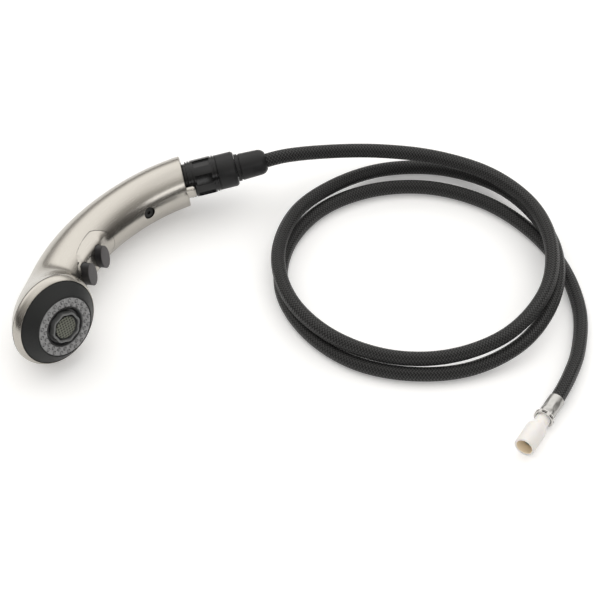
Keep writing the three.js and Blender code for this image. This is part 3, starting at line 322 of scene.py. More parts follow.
def fine_grain(material, per_mm, detail=2.0, tones=(), bump=0.0, depth=0.2):
    """A noise with its grains counted per mm. It mixes two tones, raises the surface, or both."""
    table_place = add_node(material, "TexCoord").outputs["Object"]
    grain = add_node(
        material, "TexNoise", {"Vector": table_place}, Scale=1000 * per_mm, Detail=detail,
    ).outputs["Fac"]
    if tones:
        tone = add_node(material, "ValToRGB", {"Fac": grain}, tones=list(enumerate(tones)))
        to_surface(material, Base_Color=tone.outputs["Color"])
    if bump:
        relief = add_node(
            material, "Bump", {"Height": grain}, Strength=bump, Distance=depth / 1000,
        )
        to_surface(material, Normal=relief.outputs["Normal"])


# Stainless sheet, drawn and crimped: satin, with soft stretched reflections and fine rub marks,
# 0.1 mm wide on real sheet and drawn at 1.1 mm so that they show.
drawn_stainless = new_material("drawn_stainless", "#b6b5b2", 0.33, metallic=1.0)
fine_grain(drawn_stainless, per_mm=0.9, detail=4.0, bump=0.15)

# The ferrule is a short tube, squeezed by eight jaws round the half that is nearer the connector.
bm = turned([
    (INSERT_RADIUS, GAP), (FERRULE_RADIUS - 0.1, GAP, 0.3), (FERRULE_RADIUS, GAP + 0.8, 0.3),
    (FERRULE_RADIUS, FERRULE_END - 2, 0.5), (FERRULE_RADIUS - 0.7, FERRULE_END, 0.2),
    (INSERT_RADIUS, FERRULE_END),
], segments=72)
outer = FERRULE_RADIUS - 0.5
long_edges = [e for e in bm.edges if e.calc_length() > 5 and e.verts[0].co.xy.length > outer]
bmesh.ops.subdivide_edges(bm, edges=long_edges, cuts=11)
for vert in bm.verts:
    reach = vert.co.xy.length
    jaw = 0.6 + 0.4 * math.cos(JAWS * math.atan2(vert.co.y, vert.co.x))
    if reach > outer:
        squeeze = SQUEEZE * jaw * math.exp(-(((vert.co.z - SQUEEZE_AT) / SQUEEZE_REACH) ** 4))
        vert.co.xy *= (reach - squeeze) / reach
ferrule = finish_piece(bm, "ferrule", hose_tip, [drawn_stainless])
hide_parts("crimp_ferrule")
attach(ferrule, "hose_end")

# The clip is a sprung ring that flares over the connector's neck, slotted so that it can spread.
# It is moulded in pale glass-filled acetal, which has a hard bright gloss and faint cloudy
# fibres. Real ones are 0.01 mm thick, and they are drawn as 1.4 mm clouds.
clip_acetal = new_material("glossy_pale_acetal", "#dcdad7", 0.16, IOR=1.5)
fine_grain(clip_acetal, per_mm=0.7, detail=3.0, tones=("#d2d0cd", "#e6e4e1"))
bm = turned([
    (NECK_RADIUS + GAP, CLIP_START, 0.1), (NECK_RADIUS + GAP + 0.5, CLIP_START, 0.2),
    (CLIP_RADIUS, CLIP_START + 1.2, 0.5), (CLIP_RADIUS, CLIP_END, 0.3),
    (CLIP_RADIUS - 0.8, CLIP_END, 0.2), (NECK_RADIUS + GAP, CLIP_END - 0.8, 0.2),
], segments=72)
clip = finish_piece(bm, "spring_clip", hose_tip, [clip_acetal])
slots = blocks_round(
    (4, 3.6, 1.9), (CLIP_RADIUS + 0.2, 0, CLIP_START + 2.6),
    [39.7 + 360 * i / CLIP_SLOTS for i in range(CLIP_SLOTS)],
)
cut(clip, finish_piece(slots, "slots", hose_tip, []))
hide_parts("retaining_clip")
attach(clip, "hose_end")

# A black band round the neck is painted shade, so that the clip's slots look dark.
bm = turned([
    (NECK_RADIUS + 0.02, CLIP_START + 0.6, 0.1), (NECK_RADIUS + 0.25, CLIP_START + 0.6, 0.1),
    (NECK_RADIUS + 0.25, CLIP_START + 3.2, 0.1), (NECK_RADIUS + 0.02, CLIP_START + 3.2, 0.1),
])
slot_shade_band = finish_piece(bm, "slot_shade_band", hose_tip, [braided_nylon])
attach(slot_shade_band, "hose_end")

# The connector body is moulded in natural acetal: off-white, slightly clear to light, satin, with
# clouds 11 mm across and a mould grain that is drawn at 0.4 mm, coarser than the real one. In the
# bore, where light only comes through the wall, it is much warmer.
natural_acetal = new_material(
    "natural_acetal", "#f1eeeb", 0.38, IOR=1.48,
    Subsurface_Weight=0.25, Subsurface_Scale=0.002, Subsurface_Radius=(1.0, 0.75, 0.5),
)
fine_grain(natural_acetal, per_mm=0.09, detail=3.0, tones=("#efebe7", "#f6f3f0"))
fine_grain(natural_acetal, per_mm=2.5, bump=0.1, depth=0.1)
bore_acetal = new_material("acetal_in_bore", "#fff0d6", 0.45, IOR=1.48)
fine_grain(bore_acetal, per_mm=2.5, bump=0.1, depth=0.1)
bm = turned([
    (CONNECTOR_BORE, CLIP_START), (NECK_RADIUS, CLIP_START, 0.2), (NECK_RADIUS, SHOULDER, 0.5),
    (NECK_RADIUS + 0.6, SHOULDER + 0.4, 0.3), (CONNECTOR_RADIUS - 0.5, SHOULDER + 2.6, 0.8),
    (CONNECTOR_RADIUS, SHOULDER + 4, 0.8), (CONNECTOR_RADIUS, CONNECTOR_END - 0.1, 0.5),
    (MOUTH_RADIUS, CONNECTOR_END, 0.3), (5.3, CONNECTOR_END - 0.5, 0.2), (5.1, CONNECTOR_END - 7.1),
    (SEAL_GROOVE, CONNECTOR_END - 7.1), (SEAL_GROOVE, CONNECTOR_END - 8.9),
    (4.9, CONNECTOR_END - 8.9), (4.5, CONNECTOR_FLOOR, 0.3), (CONNECTOR_BORE, CONNECTOR_FLOOR),
], segments=72)
for face in bm.faces:
    middle = face.calc_center_median()
    face.material_index = middle.xy.length < MOUTH_RADIUS - 0.05 and middle.z > SHOULDER + 3
connector = finish_piece(bm, "connector_body", hose_tip, [natural_acetal, bore_acetal])
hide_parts("quick_connector")
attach(connector, "hose_end")

# ------------------------------------------------------------------ handle shell

# The handle is one zinc die casting, brushed and nickel plated: a tube along two arcs that
# flares into the bell of the head. Its walls are 2.2 mm, and its dock end has a bore for the
# collar, a key tab beside it, and an opening underneath for the button saddle.
wand_place = (
    MM
    @ Matrix.Translation((0.07, 72.12, 22.565))
    @ Euler(tuple(math.radians(a) for a in (-11.75, -9.1, 40.83))).to_matrix().to_4x4()
)
HANDLE_RADIUS = 17.3
HANDLE_SIDES = 128
SHELL_WALL = 2.2
DOCK_WALL = 3
DOCK_BORE = 8.9
DOCK_HEADING = math.radians(188)
DOCK_EDGE = ((0, 0.9), (0.07, 0.6), (0.26, 0.26), (0.6, 0.07))  # mm from the end, mm taken off
FIRST_ARC = 102.5
FIRST_LENGTH = FIRST_ARC * math.radians(21.1)
SECOND_ARC = 141
TUBE_LENGTH = FIRST_LENGTH + SECOND_ARC * math.radians(37.5)
HEAD_REACH, HEAD_DROP = 40.3, 14.5
FACE_TURN = math.radians(55.1)
BELL_BACK = (27, 14, -24.7)  # mm along the tube, mm back from the rim, degrees off its heading
BELL_FRONT = (5, 6, 20.3)
RIM_RADIUS = 30.9
BAND_WIDTH = 6
SCREW_AT = 38.3
SCREW_HOLE = 4.1
SEAT_RADIUS, SEAT_DEPTH = 12.8, 1
BUTTONS_AT = 108
SADDLE_BACK, SADDLE_TIP, SADDLE_HALF = 27.5, 20.5, 13.9


def heading(angle):
    """A unit vector in the wand's plane of symmetry."""
    return Vector((math.cos(angle), math.sin(angle), 0))


def walk_arc(point, angle, radius, length):
    """Where a walk of this length along an arc that turns left ends, and its heading there."""
    end = angle + length / radius
    step = Vector((math.sin(end) - math.sin(angle), math.cos(angle) - math.cos(end), 0))
    return point + radius * step, end


def on_line(distance):
    """The point and heading of the handle's centre line, this far from the dock end."""
    start = (Vector(), DOCK_HEADING)
    if distance <= FIRST_LENGTH:
        return walk_arc(*start, FIRST_ARC, distance)
    bend = walk_arc(*start, FIRST_ARC, FIRST_LENGTH)
    return walk_arc(*bend, SECOND_ARC, distance - FIRST_LENGTH)


def section(centre, across, radius):
    """The place of a unit circle as a round section: across is the direction of its diameter."""
    along = across.cross(Vector((0, 0, 1)))
    turn = Matrix((across, Vector((0, 0, 1)), along)).transposed().to_4x4()
    return Matrix.Translation(centre) @ turn @ Matrix.Diagonal((radius, radius, 1, 1))


def tube_section(distance, radius):
    """A section of the tube. Near the dock end it leans back to stand square to the collar."""
    point, angle = on_line(distance)
    lean = min(1, distance / 20)
    return section(point, heading(math.pi + (angle - math.pi) * lean + math.pi / 2), radius)


tube_end, tube_angle = on_line(TUBE_LENGTH)
tube_left = heading(tube_angle + math.pi / 2)
head_centre = tube_end + HEAD_REACH * heading(tube_angle) + HEAD_DROP * tube_left
face_angle = tube_angle + FACE_TURN
rim_centre = head_centre - BAND_WIDTH * heading(face_angle)


def bell_line(side, leave, arrive, arrive_turn, steps):
    """One edge of the bell in the plane of symmetry, from the tube's end to the rim."""
    start = tube_end + side * HANDLE_RADIUS * tube_left
    end = rim_centre + side * RIM_RADIUS * heading(face_angle + math.pi / 2)
    handle = end - arrive * heading(face_angle + math.radians(arrive_turn))
    return interpolate_bezier(start, start + leave * heading(tube_angle), handle, end, steps + 1)


def bell_sections(inset, steps):
    """Sections of the bell, each from its back line to its front line, less a wall all round."""
    backs = bell_line(-1, *BELL_BACK, steps)
    fronts = bell_line(1, *BELL_FRONT, steps)
    return [
        section((back + front) / 2, (front - back).normalized(), (front - back).length / 2 - inset)
        for back, front in zip(backs[1:], fronts[1:])
    ]


def tube_sections(start, end, radius, spacing=2.5):
    """Sections of the tube at about this spacing, from one distance to another."""
    steps = max(1, round((end - start) / spacing))
    return [tube_section(start + (end - start) * i / steps, radius) for i in range(steps + 1)]


def wand_frame(point, angle):
    """A frame on the wand whose X axis has this heading. Round pieces are turned about its Z."""
    turn = Matrix.Rotation(angle, 4, "Z") @ Matrix.Rotation(-math.pi / 2, 4, "X")
    return wand_place @ (Matrix.Translation(point) @ turn)


collar_frame = wand_frame(Vector(), -math.pi / 2)
screw_frame = wand_frame(*on_line(SCREW_AT))
button_frame = wand_frame(*on_line(BUTTONS_AT))
head_frame = wand_frame(head_centre, face_angle - math.pi / 2)


def saddle_outline(grow):
    """The saddle's edge seen from the buttons: blunt towards the dock, pointed to the head."""
    back, tip, half = -SADDLE_BACK - grow, SADDLE_TIP + grow, SADDLE_HALF + grow
    corners = [
        (back, 0), (back, 0.5 * half), (back + 4.8, half - 1.7), (back + 11.3, half),
        (back + 20, half), (-3, half - 0.4), (4.5, half - 1.3), (10, half - 3.4),
        (tip, 0.3 * half), (tip, 0),
    ]
    side = []
    for i in (0, 3, 6):
        a, b, c, d = (Vector((x, y, 0)) for x, y in corners[i : i + 4])
        side += interpolate_bezier(a, b, c, d, 25)[:-1]
    return side + [Vector((p.x, -p.y, 0)) for p in [Vector((tip, 0, 0)), *side[:0:-1]]]


def prism(outline, bottom, top):
    """A block of this outline, to cut with."""
    bm = bmesh.new()
    face = bm.faces.new([bm.verts.new((p.x, p.y, bottom)) for p in outline])
    made = bmesh.ops.extrude_face_region(bm, geom=[face])["geom"]
    raised = [v for v in made if isinstance(v, bmesh.types.BMVert)]
    bmesh.ops.translate(bm, vec=(0, 0, top - bottom), verts=raised)
    bmesh.ops.recalc_face_normals(bm, faces=bm.faces)
    return bm


def round_bar(radius, bottom, top, segments):
    """A bar about Z, to cut with."""
    bm = bmesh.new()
    bmesh.ops.create_cone(
        bm, cap_ends=True, segments=segments, radius1=radius, radius2=radius, depth=top - bottom,
        matrix=Matrix.Translation((0, 0, (bottom + top) / 2)),
    )
    return bm


# Nickel plate over fine brushing: warm grey metal whose highlights smear a little across the
# strokes. The strokes run along the handle, so they are drawn about the centre of its bend,
# 0.4 mm apart, which is coarser than real ones.
STROKES = (2.5, 9.0, 2.5)  # to a mm outwards, to a radian round the bend, to a mm of its axis
brushed_nickel = new_material("brushed_nickel_plate", "#b5b1aa", 0.3, metallic=1.0)
bend_start, bend_angle = on_line(FIRST_LENGTH)
bend_centre = bend_start + SECOND_ARC * heading(bend_angle + math.pi / 2)
bend_place = wand_place @ Matrix.Translation(bend_centre)
table_place = add_node(brushed_nickel, "TexCoord").outputs["Object"]
bend = add_node(
    brushed_nickel, "Mapping", {"Vector": table_place}, vector_type="TEXTURE",
    Location=bend_place.to_translation(), Rotation=bend_place.to_euler(),
    Scale=(0.001, 0.001, 0.001),
)
bend_axes = add_node(brushed_nickel, "SeparateXYZ", {"Vector": bend.outputs[0]}).outputs
flat = add_node(brushed_nickel, "CombineXYZ", {"X": bend_axes["X"], "Y": bend_axes["Y"]})
reach = add_node(brushed_nickel, "VectorMath", {0: flat.outputs[0]}, operation="LENGTH")
sweep = add_node(
    brushed_nickel, "Math", {0: bend_axes["Y"], 1: bend_axes["X"]}, operation="ARCTAN2",
)
unrolled = add_node(
    brushed_nickel, "CombineXYZ",
    {"X": reach.outputs["Value"], "Y": sweep.outputs[0], "Z": bend_axes["Z"]},
)
stretched = add_node(
    brushed_nickel, "VectorMath", {0: unrolled.outputs[0]}, operation="MULTIPLY", IN1=STROKES,
)
strokes = add_node(
    brushed_nickel, "TexNoise", {"Vector": stretched.outputs[0]}, Scale=1.0, Detail=3.0,
).outputs["Fac"]
gloss = add_node(
    brushed_nickel, "MapRange", {"Value": strokes},
    From_Min=0.3, From_Max=0.7, To_Min=0.2, To_Max=0.28,
)
stroke_depth = add_node(
    brushed_nickel, "Bump", {"Height": strokes}, Strength=0.08, Distance=0.0002,
)
to_surface(
    brushed_nickel, Roughness=gloss.outputs["Result"], Normal=stroke_depth.outputs["Normal"],
)

# Outside from the rim back to the dock end, in through the bore, and forward again inside.
inner_radius = HANDLE_RADIUS - SHELL_WALL
outside = [tube_section(distance, HANDLE_RADIUS - less) for distance, less in DOCK_EDGE]
outside += [*tube_sections(0.9, TUBE_LENGTH, HANDLE_RADIUS), *bell_sections(0, 28)]
inside = [tube_section(0, DOCK_BORE), *tube_sections(DOCK_WALL - 0.05, DOCK_WALL, DOCK_BORE, 1)]
inside += [*tube_sections(DOCK_WALL, TUBE_LENGTH, inner_radius, 8), *bell_sections(SHELL_WALL, 12)]
bm = push_circle(outside[::-1] + inside, HANDLE_SIDES)
bmesh.ops.bridge_loops(bm, edges=[e for e in bm.edges if e.is_boundary])
bmesh.ops.recalc_face_normals(bm, faces=bm.faces)
shell = finish_piece(bm, "handle_casting", wand_place, [brushed_nickel], crease=50)
opening = prism(saddle_outline(GAP), 5, HANDLE_RADIUS + 8)
cut(shell, finish_piece(opening, "opening", button_frame, []))
screw_hole = round_bar(SCREW_HOLE, HANDLE_RADIUS - 5, HANDLE_RADIUS + 5, 48)
cut(shell, finish_piece(screw_hole, "hole", screw_frame, []))
cut(shell, finish_piece(round_bar(SEAT_RADIUS, -SEAT_DEPTH, 3, 144), "seat", collar_frame, []))
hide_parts("handle_shell")
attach(shell, "wand")

# The key tab stands out of the dock end beside the collar, and keeps the wand from turning in
# the tap. It is cast with the shell.
TAB_SIZE = (4.2, 8.2, 8.9)
TAB_PLACE = (14.7, 0, 1.3)
TAB_TURN = math.radians(9)
bm = bmesh.new()
bmesh.ops.create_cube(bm, size=1)
bmesh.ops.scale(bm, vec=TAB_SIZE, verts=bm.verts)
bmesh.ops.rotate(bm, matrix=Matrix.Rotation(TAB_TURN, 3, "Z"), verts=bm.verts)
bmesh.ops.translate(bm, vec=TAB_PLACE, verts=bm.verts)
bmesh.ops.bevel(
    bm, geom=bm.edges[:], offset=1.7, affect="EDGES", segments=6, profile=0.5, material=-1,
)
key_tab = finish_piece(bm, "key_tab", collar_frame, [brushed_nickel])
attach(key_tab, "wand")

# ------------------------------------------------------------------ button saddle

# A nickel plated panel let into the handle. Its pad is level where the buttons come through, and
# its flanks come down to the tube at the parting line. Angles go round the handle from the
# middle of the pad.
PAD_HEIGHT = HANDLE_RADIUS + 1.1
PAD_HALF = 9.4
PAD_CORNER = math.atan2(PAD_HALF, PAD_HEIGHT)
PAD_ROUNDING = 0.09
PAD_FOOT = math.asin(SADDLE_HALF / HANDLE_RADIUS)
PAD_FADE = 13
PAD_SIDES = 192
SADDLE_FROM, SADDLE_TO = BUTTONS_AT - SADDLE_BACK, BUTTONS_AT + SADDLE_TIP
POCKET_SIZE = (31.3, 19.5, 10)
BUTTON_PLACES = {"spray": -18.75 / 2, "jet": 18.75 / 2}
HOLE_HALF = (5.5, 8.85)


def ease(value, start, end):
    """From 0 at the start to 1 at the end, level at both."""
    t = min(1, max(0, (value - start) / (end - start)))
    return t * t * (3 - 2 * t)


def pad_radius(angle, distance):
    """How far the panel's surface stands from the handle's centre line."""
    inside = SECOND_ARC - HANDLE_RADIUS * math.cos(angle)
    x = inside * math.sin((distance - BUTTONS_AT) / SECOND_ARC)
    half_width = max((a.y for a, b in zip(pad_edge, pad_edge[1:]) if a.x <= x <= b.x), default=0)
    edge = ease(half_width - HANDLE_RADIUS * math.sin(angle), 0, 3)
    past_corner = math.log1p(math.exp((PAD_CORNER - angle) / PAD_ROUNDING))
    level = PAD_HEIGHT / math.cos(PAD_CORNER - PAD_ROUNDING * past_corner)
    flank = ease(angle, PAD_CORNER - 0.2, PAD_FOOT)
    rises = ease(distance, SADDLE_FROM, SADDLE_FROM + PAD_FADE)
    falls = ease(distance, SADDLE_TO - PAD_FADE, SADDLE_TO)
    stands = min(rises, 1 - falls)
    return HANDLE_RADIUS + stands * (level - HANDLE_RADIUS) * min(1 - flank, edge)


def close_ends(bm):
    """Closes a tube's open ends, and turns its faces outwards."""
    bmesh.ops.holes_fill(bm, edges=[e for e in bm.edges if e.is_boundary])
    bmesh.ops.recalc_face_normals(bm, faces=bm.faces)


pad_edge = [p for p in saddle_outline(0) if p.y >= 0]
pad_start = SADDLE_FROM - 8
pad_places = tube_sections(pad_start, TUBE_LENGTH, HANDLE_RADIUS, 1.2)
pad_step = (TUBE_LENGTH - pad_start) / (len(pad_places) - 1)
bm = push_circle(pad_places + bell_sections(0, 12), PAD_SIDES)
for i, vert in enumerate(bm.verts):
    ring = i // PAD_SIDES
    if ring < len(pad_places):
        flat_place = pad_places[ring].inverted() @ vert.co
        angle = abs(math.atan2(flat_place.y, flat_place.x))
        flat_place.xy *= pad_radius(angle, pad_start + ring * pad_step) / HANDLE_RADIUS
        vert.co = pad_places[ring] @ flat_place
close_ends(bm)
saddle = finish_piece(bm, "button_panel", wand_place, [brushed_nickel], crease=50)
outline = prism(saddle_outline(GAP - 0.22), 5, HANDLE_RADIUS + 8)
cut(saddle, finish_piece(outline, "edge", button_frame, []), "INTERSECT")
hollow_places = tube_sections(60, TUBE_LENGTH, inner_radius, 5)
hollow = push_circle(hollow_places + bell_sections(SHELL_WALL, 8), 96)
close_ends(hollow)
cut(saddle, finish_piece(hollow, "hollow", wand_place, []))
pocket = bmesh.new()
bmesh.ops.create_cube(pocket, size=1)
bmesh.ops.scale(pocket, vec=POCKET_SIZE, verts=pocket.verts)
bmesh.ops.translate(
    pocket, vec=(0, 0, inner_radius + 0.4 - POCKET_SIZE[2] / 2), verts=pocket.verts,
)
cut(saddle, finish_piece(pocket, "pocket", button_frame, []))
for place in BUTTON_PLACES.values():
    hole = bmesh.new()
    bmesh.ops.create_circle(hole, segments=64, radius=1, cap_ends=True)
    bmesh.ops.scale(hole, vec=(*HOLE_HALF, 1), verts=hole.verts)
    made = bmesh.ops.extrude_face_region(hole, geom=hole.faces[:])["geom"]
    raised = [v for v in made if isinstance(v, bmesh.types.BMVert)]
    bmesh.ops.translate(hole, vec=(0, 0, 12), verts=raised)
    bmesh.ops.translate(hole, vec=(place, 0, 12), verts=hole.verts)
    bmesh.ops.recalc_face_normals(hole, faces=hole.faces)
    cut(saddle, finish_piece(hole, "hole", button_frame, []))
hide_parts("button_saddle")
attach(saddle, "wand")

# ------------------------------------------------------------------ push buttons

# Two oval buttons in dark grey ABS, each with a flange that holds it under the saddle. The face
# has a spark-eroded grain that keeps it dull, drawn at 0.45 mm, coarser than the real one, in a
# paler grey. The walls are as the mould was polished, glossier, and are painted much darker as
# painted shade, with faint 2.5 mm flow marks.
BUTTON_FACE = HANDLE_RADIUS + 5.86
FLANGE_TOP = inner_radius + 0.05
FLANGE_HALF = (6.05, 9.4)
FLANGE_THICK = 1.1
FLANGE_WIDTH = 0.9
grained_abs = new_material("grained_dark_abs", "#5a5959", 0.55, IOR=1.52, Specular_IOR_Level=0.35)
fine_grain(grained_abs, per_mm=2.2, detail=3.0, tones=("#535152", "#626061"), bump=0.25)
wall_shade_abs = new_material("dark_abs_wall_shade", "#2b2a2b", 0.3, IOR=1.52, Specular_IOR_Level=0.3)
fine_grain(wall_shade_abs, per_mm=0.4, bump=0.1)
for kind, place in BUTTON_PLACES.items():
    bm = bmesh.new()
    bmesh.ops.create_circle(bm, segments=72, radius=1, cap_ends=True)
    bmesh.ops.scale(bm, vec=(*FLANGE_HALF, 1), verts=bm.verts)
    bmesh.ops.translate(bm, vec=(place, 0, FLANGE_TOP - FLANGE_THICK), verts=bm.verts)
    face = bm.faces[:]
    for rise, shrink in ((FLANGE_THICK, 0), (0, FLANGE_WIDTH), (BUTTON_FACE - FLANGE_TOP, 0)):
        if shrink:
            bmesh.ops.inset_region(bm, faces=face, thickness=shrink, use_even_offset=True)
        else:
            made = bmesh.ops.extrude_face_region(bm, geom=face)["geom"]
            bmesh.ops.delete(bm, geom=face, context="FACES_ONLY")
            face = [f for f in made if isinstance(f, bmesh.types.BMFace)]
            bmesh.ops.translate(bm, vec=(0, 0, rise), verts=[v for f in face for v in f.verts])
    rim = [e for f in face for e in f.edges]
    bmesh.ops.bevel(
        bm, geom=rim, offset=0.5, affect="EDGES", segments=4, profile=0.5, material=-1,
    )
    # The walls below the face take the darker copy of the ABS, which is painted shade.
    for face in bm.faces:
        face.material_index = face.calc_center_median().z < BUTTON_FACE - 0.4
    bmesh.ops.recalc_face_normals(bm, faces=bm.faces)
    button = finish_piece(bm, f"{kind}_push_button", button_frame, [grained_abs, wall_shade_abs])
    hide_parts(f"button_{kind}")
    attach(button, f"{kind}_button")

# ------------------------------------------------------------------ head: rim band

# A turned brass band, plated as the handle is. It is pressed on to the edge of the bell, and
# frames the spray face.
BAND_INNER = RIM_RADIUS - 2.5
bm = turned([
    (BAND_INNER, GAP - BAND_WIDTH), (RIM_RADIUS, GAP - BAND_WIDTH, 0.2),
    (RIM_RADIUS, 1.6 - BAND_WIDTH, 0.8), (RIM_RADIUS - 0.35, 2.8 - BAND_WIDTH, 0.6),
    (RIM_RADIUS - 1.2, -1.4, 0.8), (BAND_INNER + 0.15, 0, 0.2), (BAND_INNER, -0.3),
], segments=160)
rim_band = finish_piece(bm, "plated_rim", head_frame, [brushed_nickel], crease=50)
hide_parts("rim_band")
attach(rim_band, "wand")

# ------------------------------------------------------------------ head: face ring

# The charcoal cone between the band and the nozzles is moulded in ABS, with a skirt behind it
# that goes into the bell. Its dull grain takes the shine off the cone, and is drawn at 0.55 mm,
# coarser than the real one.
FACE_HEIGHT = 8
FACE_EDGE = BAND_INNER - GAP
SKIRT_INNER, SKIRT_OUTER = 23.6, 25.8
NOZZLE_SEAT = FACE_HEIGHT - 2
NOZZLE_OUTER = 19.9
NOZZLE_INNER = 14
charcoal_abs = new_material("charcoal_abs", "#272828", 0.5, IOR=1.52, Specular_IOR_Level=0.22)
fine_grain(charcoal_abs, per_mm=1.8, detail=3.0, tones=("#232424", "#2b2c2c"), bump=0.2)
bm = turned([
    (SKIRT_INNER, -9), (SKIRT_OUTER, -9), (SKIRT_OUTER, GAP - BAND_WIDTH),
    (FACE_EDGE, GAP - BAND_WIDTH), (FACE_EDGE, -0.3, 0.2), (FACE_EDGE - 0.4, 0.5, 0.4),
    (FACE_EDGE - 3.6, 3.9, 2), (NOZZLE_OUTER + 1.3, 7.65, 0.4),
    (NOZZLE_OUTER + 0.7, FACE_HEIGHT, 0.2), (NOZZLE_OUTER + GAP, FACE_HEIGHT - 0.1, 0.1),
    (NOZZLE_OUTER + GAP, NOZZLE_SEAT), (21.6, NOZZLE_SEAT), (21.6, 2.5), (SKIRT_INNER, 0.9),
], segments=160)
face_ring = finish_piece(bm, "spray_face", head_frame, [charcoal_abs])
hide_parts("face_ring")
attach(face_ring, "wand")

# ------------------------------------------------------------------ head: nozzle ring

# A ring of soft grey silicone with two staggered rows of bored nubs, so that lime can be rubbed
# off. Silicone is matt with a cloudy bloom, 1.4 mm across. Each nub stands in its own shallow
# moat, whose silicone is painted darker as painted shade.
NOZZLE_TOP = NOZZLE_SEAT + 2.3
NUB_ROWS = (15.6, 18.2)
NUBS_IN_ROW = 20
NUB_RADIUS = 1.05
NUB_STEPS = ((0.62, 1.55), (0.72, 0.15), (0.62, -0.1), (0.95, -1.4))  # to this share, then up
silicone = new_material("grey_silicone", "#989898", 0.62, IOR=1.41)
fine_grain(silicone, per_mm=0.7, detail=4.0, tones=("#8a8a8b", "#a6a6a7"), bump=0.2)
# The darker silicone for the moats is painted shade.
shaded_moat_silicone = new_material("silicone_moat_painted_shade", "#626264", 0.75, IOR=1.41)
fine_grain(shaded_moat_silicone, per_mm=0.7, detail=4.0, bump=0.2)
bm = turned([
    (NOZZLE_INNER, NOZZLE_SEAT), (NOZZLE_OUTER, NOZZLE_SEAT), (NOZZLE_OUTER, NOZZLE_TOP, 0.5),
    (NOZZLE_INNER, NOZZLE_TOP, 0.5),
], segments=128)
nozzle_ring = finish_piece(bm, "nozzle_ring_soft", head_frame, [silicone, shaded_moat_silicone])
moats, nubs = bmesh.new(), bmesh.new()
for row, radius in enumerate(NUB_ROWS):
    for i in range(NUBS_IN_ROW):
        angle = math.tau * (i + row / 2) / NUBS_IN_ROW
        at = (radius * math.cos(angle), -radius * math.sin(angle), NOZZLE_TOP)
        place = Matrix.Translation(at)
        bmesh.ops.create_cone(
            moats, cap_ends=True, segments=20, radius1=1.25, radius2=1.45, depth=1, matrix=place,
        )
        foot = place @ Matrix.Translation((0, 0, -0.6))
        nub = bmesh.ops.create_circle(nubs, segments=14, radius=NUB_RADIUS, matrix=foot)
        edges = list({e for v in nub["verts"] for e in v.link_edges})
        for share, rise in NUB_STEPS:
            made = bmesh.ops.extrude_edge_only(nubs, edges=edges)["geom"]
            fresh = [v for v in made if isinstance(v, bmesh.types.BMVert)]
            edges = [e for e in made if isinstance(e, bmesh.types.BMEdge) and e.is_boundary]
            centre = sum((v.co for v in fresh), Vector()) / len(fresh)
            about = Matrix.Translation(-centre)
            bmesh.ops.scale(nubs, vec=(share, share, 1), verts=fresh, space=about)
            bmesh.ops.translate(nubs, vec=(0, 0, rise), verts=fresh)
        bmesh.ops.holes_fill(nubs, edges=edges)
close_ends(nubs)
moat_cutter = finish_piece(moats, "moats", head_frame, [silicone, shaded_moat_silicone])
# The moats' walls and floors take the darker silicone, which is painted shade.
for face in moat_cutter.data.polygons:
    face.material_index = 1
cut(nozzle_ring, moat_cutter)
nub_piece = finish_piece(nubs, "nozzle_nubs", head_frame, [silicone])
for piece in (nozzle_ring, nub_piece):
    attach(piece, "wand")
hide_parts("nozzle_ring")

# ------------------------------------------------------------------ head: aerator

# A black cup, sunk in the face, holds the aerator: a grey ring with a wavy grip edge round a fine
# woven screen. The cup is moulded in ABS that is blacker and glossier than the face, with a grain
# drawn at 0.67 mm, coarser than the real one.
black_abs = new_material("black_abs", "#1d1d1e", 0.35, IOR=1.52)
fine_grain(black_abs, per_mm=1.5, detail=3.0, tones=("#1a1a1b", "#242425"), bump=0.12)
bm = turned([
    (7.2, -7.5), (11, -7.5), (11, NOZZLE_SEAT), (13.7, NOZZLE_SEAT), (13.7, FACE_HEIGHT, 0.2),
    (13.1, FACE_HEIGHT, 0.2), (11.3, 5.5, 0.3), (9.8, 5.5), (9.8, -4), (7.2, -4),
], segments=96)
aerator_cup = finish_piece(bm, "aerator_cup", head_frame, [black_abs])
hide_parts("aerator_housing")
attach(aerator_cup, "wand")

# The ring is mid grey ABS with the same grain. It is satin, so that each lobe catches the light.
LOBES, LOBE_SHARE = 8, 0.035
aerator_grey = new_material("aerator_grey_abs", "#666767", 0.35, IOR=1.52)
fine_grain(aerator_grey, per_mm=1.5, bump=0.15)
bm = turned([
    (8.8, 5.8), (10.3, 5.8), (10.3, 10, 0.3), (9.1, 10, 0.2), (8.8, 9.6, 0.1),
], segments=144)
for vert in bm.verts:
    vert.co.xy *= 1 + LOBE_SHARE * math.cos(LOBES * math.atan2(vert.co.y, vert.co.x))
aerator_ring = finish_piece(bm, "aerator_grip_ring", head_frame, [aerator_grey])
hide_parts("aerator_ring")
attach(aerator_ring, "wand")

# The screen is woven stainless wire, slightly domed. Real mesh is 0.3 mm; it is drawn at 1.9 mm,
# with dark gaps between dull wires.
MESH_SIZE = 0.0019
SCREEN_RADIUS = 7.5
woven_screen = new_material("woven_stainless", "#5d5f55", 0.45, metallic=0.3)
table_place = add_node(woven_screen, "TexCoord").outputs["Object"]
weave = add_node(
    woven_screen, "Mapping", {"Vector": table_place}, vector_type="TEXTURE",
    Location=head_frame.to_translation(), Rotation=head_frame.to_euler(),
    Scale=(MESH_SIZE, MESH_SIZE, MESH_SIZE),
)
weave_axes = add_node(woven_screen, "SeparateXYZ", {"Vector": weave.outputs[0]}).outputs
wires = {}
for i, axis in enumerate(("X", "Y")):
    wave = add_node(woven_screen, "Math", {0: weave_axes[axis]}, operation="PINGPONG", IN1=0.5)
    wires[i] = wave.outputs[0]
crossing = add_node(woven_screen, "Math", wires, operation="MAXIMUM").outputs[0]
wire_tone = add_node(
    woven_screen, "ValToRGB", {"Fac": crossing}, tones=((0.2, "#24251f"), (0.48, "#74766a")),
)
wire_depth = add_node(woven_screen, "Bump", {"Height": crossing}, Strength=0.5, Distance=0.0003)
to_surface(
    woven_screen, Base_Color=wire_tone.outputs["Color"], Normal=wire_depth.outputs["Normal"],
)
